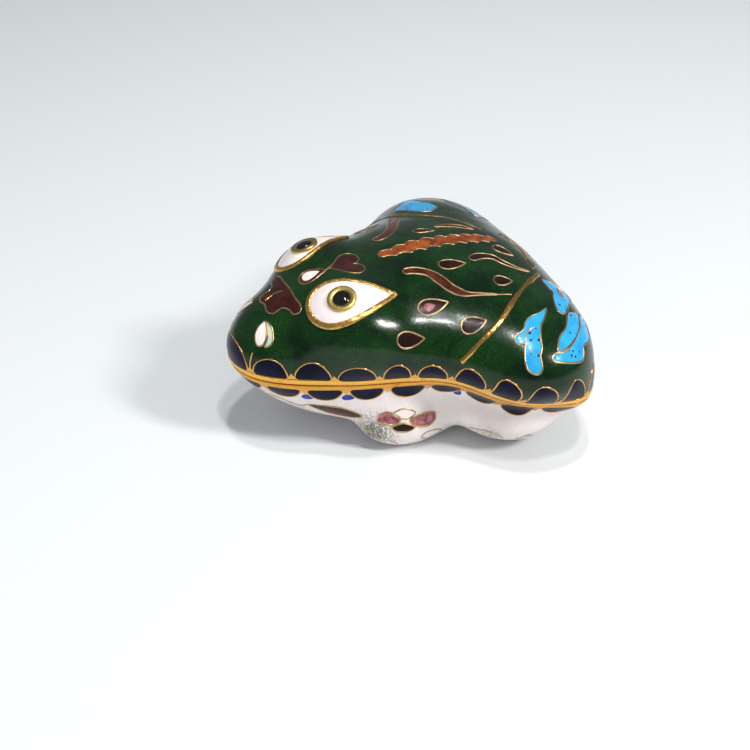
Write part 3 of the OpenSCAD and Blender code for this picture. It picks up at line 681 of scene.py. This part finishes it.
def cell(outline, rise=0.09, spread_mm=0.35, edge=0.0, thickness=0.25, cuts=3):
    """Enamel in one cell: a disc drawn to the outline, divided and laid on the skin, crowned a little."""
    n = len(outline)
    nothing_selected()
    bpy.ops.mesh.primitive_circle_add(vertices=n, radius=1, fill_type='NGON')
    ob = bpy.context.object
    write_points(ob, outline * MM)
    edit(("quads_convert_to_tris", {"ngon_method": 'BEAUTY'}), ("beautify_fill", {}),
         ("subdivide", {"number_cuts": cuts}))
    p = on_skin(read_points(ob) / MM)
    away = np.linalg.norm(p[:, None, :] - outline[None], axis=-1).min(1)
    lift = edge + rise * (1 - np.exp(-away / spread_mm))
    way = outward(p)
    write_points(ob, (p + lift[:, None] * way) * MM)
    facing = np.zeros(len(ob.data.polygons) * 3)
    ob.data.polygons.foreach_get("normal", facing)
    if (facing.reshape(-1, 3) * way.mean(0)).sum() < 0:
        edit(("flip_normals", {}))
    if thickness:
        thicken(ob, thickness)
    return ob


def cells(name, look, body, outlines, *nodes, **settings):
    """One piece of enamel in several cells of one colour."""
    return settle(joined([cell(o, **settings) for o in outlines]), name, look, body, *nodes)


def wires(name, look, body, runs, *nodes, radius=0.23, sunk=0.10, uneven=0.16, extra=()):
    """Flat-laid wires along surface lines. runs holds (line, closed)."""
    made = []
    for line, closed in runs:
        n = len(line)
        nothing_selected()
        bpy.ops.mesh.primitive_circle_add(vertices=n, radius=1, fill_type='NOTHING')
        ob = bpy.context.object
        write_points(ob, (line - sunk * outward(line)) * MM)
        if not closed:
            delete_parts('EDGE', ob.data.edges, lambda e: set(e.vertices) == {0, n - 1})
        made.append(ob)
    ob = joined(made)
    alone(ob)
    bpy.ops.object.convert(target='CURVE')
    ob = bpy.context.object
    ob.data.bevel_depth = radius * MM
    ob.data.bevel_resolution = 2
    ob.data.use_fill_caps = True
    for spline in ob.data.splines:
        swell = rng.normal(0, 1, len(spline.points) + 6)
        swell = np.convolve(swell, np.ones(5) / 5, 'same')[:len(spline.points)]
        for point, s in zip(spline.points, swell):
            point.radius = 1 + uneven * s
    bpy.ops.object.convert(target='MESH')
    ob = joined([bpy.context.object, *extra])
    return settle(ob, name, look, body, *nodes)


# ---------------------------------------------------------------- walls

SKIN_START = BAND_H - 0.2
for body, side, look, lining_start in (("lid", 1, "green", 0.3), ("base", -1, "white", 2.4)):
    settle(half_wall(side, 0, ENAMEL, SKIN_START, SKIN_GRID), body + "_ground_enamel", look, body,
           body + "_enamel")
    settle(half_wall(side, ENAMEL, COPPER, JOINT_GAP / 2), body + "_copper_shell", "copper", body,
           body + "_shell")
    settle(half_wall(side, ENAMEL + COPPER, LINING, lining_start), body + "_counter_enamel", "lining", body,
           body + "_lining")

# ---------------------------------------------------------------- rim bands and collar


def rim_band(side):
    """A soldered gilt moulding: a rounded face with a fine step next to the joint."""
    middle, half = (JOINT_GAP / 2 + BAND_H) / 2, (BAND_H - JOINT_GAP / 2) / 2

    def place(turn, corner):
        across, up = boxy(corner, 2.5)
        height = middle + half * up
        waver = 0.03 * np.sin(9 * turn) + 0.025 * np.sin(23 * turn + 1)
        step = 0.14 * np.exp(-((height - 0.42) / 0.10) ** 2)
        out = -0.2 + (0.2 + BAND_PROUD - 0.06 + waver) * across - np.where(across > 0.5, step, 0)
        return wall(turn, side * height, out)

    return ring(place, 360, 40)


settle(rim_band(1), "lid_rim_band", "band", "lid", "lid_rim")
# the lower band gets the darker copy of the gilding, which is painted shade
settle(rim_band(-1), "base_rim_band", "shaded_low_band", "base", "base_rim")


def collar():
    """The locating collar: a skirt on the copper below the joint, and a lip that stands in the lid."""
    skirt = -ENAMEL - COPPER
    lip = skirt - LINING - 0.3
    section = np.array([[skirt, -1.1], [skirt, -0.1], [lip, 0.15], [lip, 2.4], [lip - 0.2, 2.6],
                        [lip - 0.4, 2.6],
                        [lip - 0.6, 2.4], [lip - 0.6, 0.0], [skirt - 0.6, -0.4], [skirt - 0.6, -2.2],
                        [skirt, -2.2]])
    run = np.linspace(0, 1, len(section) + 1)
    loop = np.vstack([section, section[:1]])

    def place(turn, corner):
        t = (corner / (2 * math.pi)) % 1
        return wall(turn, np.interp(t, run, loop[:, 1]), np.interp(t, run, loop[:, 0]))

    return ring(place, 240, 44)


settle(collar(), "base_locating_collar", "band", "base", "base_collar")

# ---------------------------------------------------------------- scallops along the rims

SIDE_SCALLOPS = 14
NOSE_SCALLOP = 14.8
LID_SCALLOP_H, BASE_SCALLOP_H = 4.4, 3.2
FILLET = 1.5
# Places along the rim where the lid's scallops change height or lean, and by how much
TALLER_AT, TALLER = [0, 4, 50, 66, 80, 95], [1.2, 1, 1, 1.36, 1.34, 1.2]
LEAN_AT, LEAN = [50, 62, 69, 80, 90], [0, 0.07, 0.13, 0.09, 0]


def arch(middle, width, side, tall, steps=30):
    """A half-round arch that stands on the band, and over the haunches leans a little to the nose."""
    t = np.linspace(0, math.pi, steps)
    foot = rim(middle - width / 2 * np.cos(t), side * (BAND_H - 0.1))
    across = foot[-1] - foot[0]
    rise = unit(np.cross(outward(rim(middle, side * (BAND_H + tall / 2))), across))
    lean = np.interp(abs(middle), LEAN_AT, LEAN) * (side > 0)
    rise = unit(rise * side * np.sign(rise[2]) - lean * np.sign(middle) * unit(across))
    return on_skin(foot + np.outer(tall * np.sin(t) ** 0.92, rise))


def scallops(side, joins, spans, tall):
    """Outlines of the half-round cells, their wires, and the gilt fillets between their feet."""
    shapes, lines = [], []
    for left, right in spans:
        middle, width = (left + right) / 2, abs(right - left) - FILLET * rng.uniform(0.8, 1.1)
        taller = np.interp(abs(middle), TALLER_AT, TALLER) if side > 0 else 1
        top = arch(middle, width, side, tall * taller * rng.uniform(0.95, 1.05))
        foot = rim(np.linspace(middle + width / 2, middle - width / 2, 12)[1:-1], side * (BAND_H - 0.15))
        shapes.append(np.vstack([top, foot]))
        lines.append((top, False))
    feet = []
    for s in joins:
        t = np.linspace(-1, 1, 15)
        high = side * (BAND_H - 0.1 + FILLET * 1.05 * (1 - np.abs(t)) ** 1.6)
        foot = rim(np.linspace(s + FILLET, s - FILLET, 9)[1:-1], side * (BAND_H - 0.2))
        feet.append(np.vstack([rim(s + FILLET * t, high), foot]))
    return shapes, lines, feet


def both_ways(joins):
    """The spans between joins, on the frog's left and then on its right."""
    left = list(zip(joins[:-1], joins[1:]))
    return left + [(-b, -a) for a, b in left]


def scallop_row(body, side, joins, spans, tall, uprights=()):
    """The cells, wires and fillets along one rim."""
    shapes, lines, feet = scallops(side, joins, spans, tall)
    cells(body + "_scallop_cells", "navy", body, shapes, body + "_scallop_enamel", cuts=2)
    fillets = joined([cell(f, rise=0.12, spread_mm=0.15, edge=0.02, cuts=1) for f in feet])
    wires(body + "_scallop_wirework", "rim_wire", body, [*lines, *uprights], body + "_scallop_wires",
          radius=0.20, extra=[fillets])


# The scallops by the cheeks are wider than the rest
passed = np.linspace(0, 1, SIDE_SCALLOPS + 1)
cheek = NOSE_SCALLOP / 2
lid_joins = cheek + (HALF_RIM - cheek) * np.interp(passed, [0, 0.214, 0.5, 1], [0, 0.245, 0.5, 1])
base_joins = HALF_RIM * np.interp(passed, [0, 0.429, 0.5, 1], [0, 0.456, 0.53, 1])
uprights = [(rim(np.full(14, s), np.linspace(BAND_H - 0.2, BAND_H + 4.7, 14)), False) for s in (cheek,
                                                                                                -cheek)]
scallop_row("lid", 1, [*lid_joins, *-lid_joins[:-1]], [(-cheek, cheek), *both_ways(lid_joins)], LID_SCALLOP_H,
            uprights)
scallop_row("base", -1, [*base_joins, *-base_joins[1:-1]], both_ways(base_joins), BASE_SCALLOP_H)

# Bright blue that shows between the feet of a few of the lower scallops
across, down = np.array([[-1.3, 2.3], [-0.5, 1.5], [0.6, 1.4], [1.6, 2.4], [0.9, 2.9], [-0.7, 3.0]]).T
slivers = [blob(rim(s + across, -(BAND_H + down)), 30)
           for k in (2, 3, 6) for s in (base_joins[k], -base_joins[k])]
cells("blue_slivers", "bright_blue", "base", slivers, rise=0.03, cuts=1)

# ---------------------------------------------------------------- motifs of the back and head

spine = leaf([[0, -3.5, 39], [0.2, 0, 39], [0, 6, 39], [0.1, 13, 39], [0, 20, 39], [0, 26.5, 38]],
             [2.2, 2.8, 3.9, 4.2, 4.0, 3.9, 3.8, 3.6, 3.0, 2.2], 130, wavy=0.24, waves=9)
cells("spine_stripe", "rust", "lid", [spine], "spine_enamel", cuts=3)

front_ribbon = leaf([[7.8, -1.2, 39], [8.4, 1.2, 39], [10.2, 3.8, 38.8], [13.2, 5.4, 38.2], [16, 6.7, 37.5],
                     [18.2, 8.8, 37], [19.2, 11.8, 36.6], [20.6, 15.2, 36.5]],
                    [1.8, 2.0, 1.8, 2.4, 2.2, 2.0, 0.9, 0.5, 0.35], 50)
rear_ribbon = leaf([[8.6, 14.6, 39], [7.8, 17.5, 38.8], [8.4, 20.2, 38.2], [10.6, 22, 37.7], [12.4, 24, 36.9],
                    [13.8, 27, 35.9]], [1.6, 2.2, 1.9, 1.5, 1.2, 0.8, 0.5], 46)
far_ribbon = leaf([[-7.4, -1.6, 39], [-8, 1, 39], [-10, 3.6, 38.8], [-12.8, 5.4, 38.3], [-16, 7, 37.4],
                   [-20, 9.2, 36.2]], [2.2, 2.4, 2.3, 2.5, 2.5, 2.4], 46)
far_leaf = leaf([[-7.5, 13.5, 39], [-7.7, 16.5, 39], [-6.7, 19.5, 38.5], [-5, 22.4, 38]],
                [0.5, 1.4, 1.7, 1.5, 0.5], 36)
cells("rust_ribbons", "brown", "lid", [front_ribbon, far_ribbon], "ribbon_enamel")
cells("dark_ribbons", "dark_drop", "lid", [rear_ribbon, far_leaf])

paired = [([8.8, 7, 39.5], [9.8, 13, 39], 3.2), ([18.1, -2, 35.5], [18.8, 4.5, 36.2], 3.8),
          ([21.5, -8.4, 31.2], [23, -2.8, 31.4], 3.6)]
drops = [drop(a, b, w) for a, b, w in paired]
drops += [drop([-a[0], a[1], a[2]], [-b[0], b[1], b[2]], w) for a, b, w in paired[1:]]
drops += [drop([-6.9, 8, 39.7], [-5.4, 12.6, 39.6], 2.2), drop([16.4, 16.6, 37.5], [17.6, 20.6, 37], 3.3),
          drop([24.6, 4.9, 32.9], [25.7, 10.2, 34.3], 3.8), drop([3.6, 23, 38], [7.3, 26.4, 36.7], 3.2),
          drop([6.6, 31, 34.4], [11.8, 28.9, 35.2], 2.6)]
cells("dark_drops", "dark_drop", "lid", drops, "drop_enamel")
hearts_of_drops = [drop([side * 18.3, -0.9, 35.6], [side * 18.6, 1.8, 36.0], 2.1) for side in (1, -1)]
cells("pink_drop_hearts", "pink", "lid", hearts_of_drops, rise=0.12, edge=0.06, cuts=2)

crown = heart([0.7, -15.8, 39.4], [1.4, -8.2, 39.6], 9.0)
muzzle_left = [[0, -24.3, 35.9], [3.6, -24.4, 35.7], [6.4, -24.3, 35.4], [7.8, -24.9, 34.8], [7.3, -26.4,
                                                                                              34.2],
               [5.2, -26.7, 34.3], [3.9, -27.7, 34.0], [3.9, -29.6, 33.2], [2.4, -30.6, 33.0], [0, -30.4,
                                                                                                33.4]]
muzzle = blob(muzzle_left + [[-x, y, z] for x, y, z in muzzle_left[-2:0:-1]], 84)
cells("crown_heart", "maroon", "lid", [crown], "heart_enamel")
cells("muzzle_patch", "maroon", "lid", [muzzle], "muzzle_enamel")

crown_drop = drop([-0.3, -22.2, 37.2], [0.8, -16.2, 39.2], 4.4)
crown_drop_heart = drop([-0.3, -21.3, 37.4], [0.4, -17.6, 38.9], 2.9)
cells("crown_drop_border", "brown", "lid", [crown_drop])
cells("crown_drop_white", "eye_white", "lid", [crown_drop_heart], "crown_drop_enamel", rise=0.12, edge=0.08)

nostril = blob([[6.7, -34.4, 28.0], [5.1, -34.2, 29.5], [4.2, -33.1, 30.9], [4.3, -31.7, 31.9], [5.9,
                                                                                                 -31.9, 31.0],
                [7.3, -32.5, 29.5], [7.6, -33.5, 28.2]], 40)
crescent = blob([[4.6, -31.5, 31.9], [6.4, -31.0, 31.4], [7.7, -31.0, 30.3], [8.8, -32.0, 28.9], [8.2,
                                                                                                  -33.3,
                                                                                                  28.0],
                 [7.8, -32.7, 29.0], [6.9, -31.9, 30.4]], 40)
cells("nostril_drops", "eye_white", "lid", mirrored_pair(nostril), "nostril_enamel")
cells("nostril_crescents", "pale_green", "lid", mirrored_pair(crescent))

rump_leaf = leaf([[-5.5, 30.2, 35.7], [-3, 31.6, 34.6], [-0.3, 32.6, 33.6], [3, 32.4, 33.8], [6, 31, 34.8]],
                 [0.7, 2.6, 3.1, 2.6, 0.6], 44)
cells("rump_leaf", "rust", "lid", [rump_leaf], "rump_leaf_enamel")

bar = on_skin(rounded([[-1.1, -29.6, 33.5], [-1.4, -27.6, 34.5], [-0.6, -25.8, 35.3]], 18))
join_wire = on_skin(rounded([[1.9, -18.6, 38.5], [0.8, -16.2, 39.2], [-0.4, -14.3, 39.5]], 16))
tail = on_skin(rounded([[20.6, 15.2, 36.5], [21.0, 16.6, 36.4], [21.4, 18, 36.2]], 10))
closed_lines = [spine, front_ribbon, rear_ribbon, far_ribbon, far_leaf, *drops, crown, muzzle, crown_drop,
                *mirrored_pair(nostril), *mirrored_pair(crescent), rump_leaf]
wires("motif_wirework", "wire", "lid", [(o, True) for o in closed_lines] + [(join_wire, False), (tail,
                                                                                                 False)],
      "motif_wires")
wires("muzzle_bar", "rim_wire", "lid", [(bar, False)], radius=0.36, sunk=0.12)

# ---------------------------------------------------------------- haunches

bone = blob([[27.1, 23.8, 34.8], [28.2, 21.1, 34.8], [28.5, 19.1, 34.7], [29.4, 17.4, 34.3], [30.9, 15.9,
                                                                                              33.4],
             [31.3, 14.0, 32.8], [32.6, 13.5, 32.1], [33.5, 14.1, 31.8], [33.6, 15.2, 32.0], [34.7, 14.6,
                                                                                              31.1],
             [36.1, 14.0, 29.6], [37.6, 14.1, 28.0], [38.7, 15.6, 27.2], [38.8, 16.8, 28.0], [38.1, 17.1,
                                                                                              29.1],
             [36.9, 17.2, 30.2], [35.5, 18.1, 31.3], [33.7, 18.8, 32.5], [31.5, 20.1, 33.7], [29.3, 22.1,
                                                                                              34.3]], 84)
notch = on_skin(rounded([[33.9, 15.2, 31.9], [32.6, 16.1, 32.9], [31.4, 17.2, 33.5], [31.3, 18.6, 33.8]], 18))
upper_leaf = blob([[28.3, 28.4, 32.8], [27.1, 30.5, 32.0], [27.0, 32.0, 30.9], [30.9, 30.2, 30.8],
                   [34.0, 27.7, 30.7], [36.2, 24.9, 30.3], [37.5, 22.6, 30.1], [37.4, 21.4, 30.5], [35.9,
                                                                                                    22.0,
                                                                                                    31.3],
                   [34.1, 23.3, 32.1], [32.4, 25.6, 32.4]], 60)
lower_leaf = blob([[26.0, 33.0, 30.3], [27.2, 34.0, 28.7], [29.6, 33.4, 28.0], [32.5, 32.0, 27.7],
                   [35.1, 28.9, 28.8], [36.6, 28.2, 28.0], [37.9, 27.0, 27.2], [38.6, 24.9, 27.6],
                   [38.8, 21.4, 28.7], [38.2, 19.6, 29.2], [37.6, 19.6, 29.9], [37.2, 21.2, 30.3],
                   [36.6, 23.6, 30.4], [35.0, 26.4, 30.6], [31.9, 29.5, 30.7]], 80)
hook = blob([[16.6, 28.8, 35.0], [16.4, 30.6, 34.0], [18.0, 33.2, 31.8], [20.5, 33.6, 30.9], [25.1, 30.5,
                                                                                              32.5],
             [28.4, 27.6, 33.1], [28.1, 26.4, 33.8], [26.1, 26.6, 34.3], [23.5, 27.6, 34.5], [21.2, 28.7,
                                                                                              34.3],
             [19.2, 28.4, 34.7]], 60)
hook_spot = blob([[18.6, 31.0, 33.2], [20.6, 31.2, 32.7], [22.8, 30.4, 33.0], [21.0, 30.2, 33.4]], 28)
far_patch = blob([[-26.5, 11.9, 34.3], [-29, 13.9, 33.8], [-32.6, 18, 33], [-27, 20, 35.2], [-22, 21, 36.2],
                  [-19, 18.4, 37], [-20.2, 15.2, 36.7], [-23.5, 13.6, 35.6]], 60)
haunch_shapes = [upper_leaf, lower_leaf, hook]
for name, own, body_side in (("left", [bone], lambda s: s), ("right", [far_patch], other_side)):
    turned = own + [body_side(s) for s in haunch_shapes]
    cells("haunch_patches_" + name, "turquoise", "lid", turned, "haunch_enamel_" + name, rise=0.10)
    cells("haunch_spot_" + name, "pink", "lid", [body_side(hook_spot)], rise=0.06, edge=0.11, cuts=1)
    runs = [(s, True) for s in [*turned, body_side(hook_spot)]]
    if name == "left":
        runs.append((notch, False))
    wires("haunch_wirework_" + name, "wire", "lid", runs, "haunch_wires_" + name, sunk=0.06)

seam_left = on_skin(rounded([[28.3, 3.2, 27.2], [28.7, 7.0, 31.0], [27.3, 12.4, 34.2], [23.4, 17.9, 36.1],
                             [19.2, 23.1, 36.4], [14.2, 28.9, 35.0]], 70))
seam_right = on_skin(rounded([[-27.5, 3.5, 28], [-26, 7, 32.5], [-21.5, 10.5, 36], [-17, 14.5, 37.5],
                              [-13, 19, 37.8], [-9, 22, 37.8], [-5, 24.5, 37.5]], 70))
wires("seam_wire_left_gilt", "rim_wire", "lid", [(seam_left, False)], "seam_wire_left", radius=0.80,
      sunk=0.46,
      uneven=0.2)
wires("seam_wire_right_gilt", "wire", "lid", [(seam_right, False)], "seam_wire_right", radius=0.36, sunk=0.12,
      uneven=0.3)

# ---------------------------------------------------------------- eyes

EYE_FRONT, EYE_TIP = np.array([9.4, -24.6, 35.7]), np.array([13.8, -4.4, 37.5])
PUPIL_LEFT, PUPIL_RIGHT = np.array([12.4, -17.1, 38.4]), np.array([-10.8, -16.8, 38.9])
EYE_W, EYE_BORDER, IRIS_R, PUPIL_R = 12.0, 1.1, 3.2, 1.9
BORDER_CORNERS = 32


def eye_outline(inset, steps=140):
    """The eye's teardrop, drawn in by an inset."""
    along = unit(EYE_TIP - EYE_FRONT)
    return drop(EYE_FRONT + inset * along, EYE_TIP - 1.8 * inset * along, EYE_W - 2 * inset, steps)


def eye_border(flip):
    """The hammered border: a flattened ring round the eye, dented all over and thicker below."""
    line = eye_outline(EYE_BORDER / 2 + 0.05, 240)
    if flip:
        line = other_side(line)
    middle = line.mean(0)
    if (np.cross(line - middle, np.roll(line, -1, 0) - middle).sum(0) * outward(on_skin(middle))).sum() < 0:
        line = line[::-1]
    n = len(line)
    up = outward(line)
    out = unit(np.cross(np.roll(line, -1, 0) - np.roll(line, 1, 0), up))
    low = np.clip((middle[2] + 1.2 - line[:, 2]) / 4, -0.6, 1)
    dents = np.random.default_rng(11 + flip).normal(0, 1, (n, BORDER_CORNERS))
    for axis in (0, 1):
        dents = (np.roll(dents, 1, axis) + 2 * dents + np.roll(dents, -1, axis)) / 4

    def place(turn, corner):
        k = np.round(turn / (2 * math.pi) * n).astype(int) % n
        j = np.round(corner / (2 * math.pi) * BORDER_CORNERS).astype(int) % BORDER_CORNERS
        across, high = boxy(corner, 2.6)
        wide = 0.56 + 0.16 * low[k]
        rough = np.where(high > 0, 0.085 * dents[k, j], 0)
        return (line[k] + (across * wide)[:, None] * out[k]
                + (0.06 + high * 0.42 + rough)[:, None] * up[k])

    return ring(place, n, BORDER_CORNERS)


def turned_piece(spot, way, profile, steps=96):
    """A lathe-turned piece: a profile of (radius, height) spun round an axis on the skin."""
    side = unit(np.cross(way, [0.0, 1.0, 0.0]))
    nothing_selected()
    bpy.ops.mesh.primitive_circle_add(vertices=len(profile), radius=1, fill_type='NOTHING')
    ob = bpy.context.object
    p = np.array([spot + r * side + h * way for r, h in profile])
    write_points(ob, p * MM)
    bpy.ops.object.mode_set(mode='EDIT')
    bpy.ops.mesh.select_all(action='SELECT')
    bpy.ops.mesh.spin(steps=steps, angle=2 * math.pi, center=spot * MM, axis=way, use_auto_merge=False,
                      dupli=False)
    bpy.ops.mesh.select_all(action='SELECT')
    bpy.ops.mesh.remove_doubles(threshold=0.000004)
    bpy.ops.mesh.normals_make_consistent(inside=False)
    bpy.ops.object.mode_set(mode='OBJECT')
    return ob


CUP = [(0, -0.3), (IRIS_R * 0.98, -0.3), (IRIS_R, 0.36), (IRIS_R - 0.04, 0.50), (IRIS_R - 0.16, 0.62),
       (IRIS_R - 0.38, 0.68), (IRIS_R - 0.75, 0.66), (PUPIL_R + 0.35, 0.64), (PUPIL_R + 0.12, 0.60),
       (PUPIL_R + 0.02, 0.52), (0, 0.52)]
BEAD = [(0, 0.54)] + [(PUPIL_R * math.sin(t), 0.50 + 0.70 * math.cos(t)) for t in np.linspace(1.45, 0.0, 16)]

for name, flip, pupil in (("left", False, PUPIL_LEFT), ("right", True, PUPIL_RIGHT)):
    white = eye_outline(EYE_BORDER * 0.8)
    white = other_side(white) if flip else white
    settle(cell(white, rise=0.34, spread_mm=2.0, edge=0.16, thickness=0.3, cuts=5), "eye_white_dome_" + name,
           "eye_white", "lid", "eye_white_" + name)
    settle(eye_border(flip), "eye_border_hammered_" + name, "eye_border", "lid", "eye_border_" + name)
    spot = on_skin(pupil)
    way = outward(spot)
    settle(turned_piece(spot, way, CUP), "iris_cup_turned_" + name, "cup", "lid", "iris_cup_" + name)
    settle(turned_piece(spot, way, BEAD), "pupil_bead_" + name, "bead", "lid", "pupil_" + name)

# ---------------------------------------------------------------- lower half

petal_front = blob([[19.3, -12.2, 9.0], [19.1, -11.5, 10.7], [19.5, -10.1, 11.5], [20.2, -8.3, 11.1],
                    [20.9, -7.1, 9.7], [20.8, -8.0, 8.8], [20.6, -9.5, 8.4], [20.0, -11.5, 8.5]], 40)
petal_top = blob([[20.0, -8.6, 10.9], [20.3, -7.0, 11.9], [20.5, -5.4, 11.9], [21.1, -3.6, 10.8],
                  [21.2, -5.2, 9.7], [20.9, -7.0, 9.8]], 36)
petal_rear = blob([[21.4, -5.0, 9.1], [21.3, -3.4, 10.0], [21.2, -1.4, 10.4], [21.3, 0.9, 10.0], [21.6,
                                                                                                  1.0, 8.2],
                   [21.8, -0.9, 6.9], [21.7, -3.9, 7.7]], 40)
petal_low = blob([[20.9, -9.2, 7.8], [21.1, -7.4, 8.6], [21.3, -6.0, 8.6], [21.6, -3.9, 7.5], [21.4, -5.6,
                                                                                               6.6],
                  [21.1, -8.2, 6.8]], 36)
bud = blob([[21.2, -2.1, 3.9], [21.6, -1.1, 5.1], [21.4, 1.2, 5.1], [20.9, 3.0, 3.9], [20.8, 1.4, 3.0],
            [20.8, -0.6, 2.8]], 34)
chin = blob([[12.0, -25.3, 13.3], [14.3, -21.9, 13.3], [15.7, -18.4, 12.7], [17.0, -14.7, 10.3],
             [15.0, -16.7, 9.4], [13.6, -19.6, 10.0], [12.8, -22.4, 11.3]], 46)


cells("pink_petals", "pink", "base", mirrored_pair(petal_front) + mirrored_pair(petal_rear),
      "flower_enamel", cuts=2)
cells("dark_petals", "dark_drop", "base", mirrored_pair(petal_low), cuts=2)
cells("white_petals", "white", "base", mirrored_pair(petal_top), "flower_white_enamel", cuts=2)
cells("white_buds", "white", "base", mirrored_pair(bud), cuts=2)
cells("chin_ribbons", "brown", "base", mirrored_pair(chin), "chin_ribbon_enamel", cuts=2)
chin_wire = on_skin(rounded([[6.5, -32.2, 14.8], [8.3, -30.0, 14.2], [9.5, -28.3, 12.9], [10.6, -26.8, 12.4],
                             [12.0, -25.3, 13.3]], 34))
curls = [on_skin(rounded(line, 22)) for line in (
    [[26.6, 8.6, 5.2], [27.5, 9.6, 6.6], [28.5, 11.0, 6.9], [29.3, 12.5, 6.2], [29.8, 13.8, 4.8]],
    [[30.6, 16.2, 4.8], [31.0, 17.2, 6.0], [31.3, 18.6, 6.2], [31.2, 20.0, 5.0]],
    [[17.6, -14.8, 7.2], [18.6, -13.7, 6.0], [19.4, -12.1, 4.6], [19.2, -10.6, 3.2]],
    [[20.4, -9.6, 3.8], [20.9, -8.6, 2.9], [20.7, -7.6, 2.0]])]
runs = []
for shape in (petal_front, petal_top, petal_rear, petal_low, bud, chin):
    runs += [(s, True) for s in mirrored_pair(shape)]
for line in [chin_wire, *curls]:
    runs += [(s, False) for s in mirrored_pair(line)]
wires("base_wirework", "wire", "base", runs, "base_motif_wires", radius=0.26, sunk=0.13)

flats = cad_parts["foot_flats"]
flats.data.materials.clear()
flats.data.materials.append(LOOKS["band"])
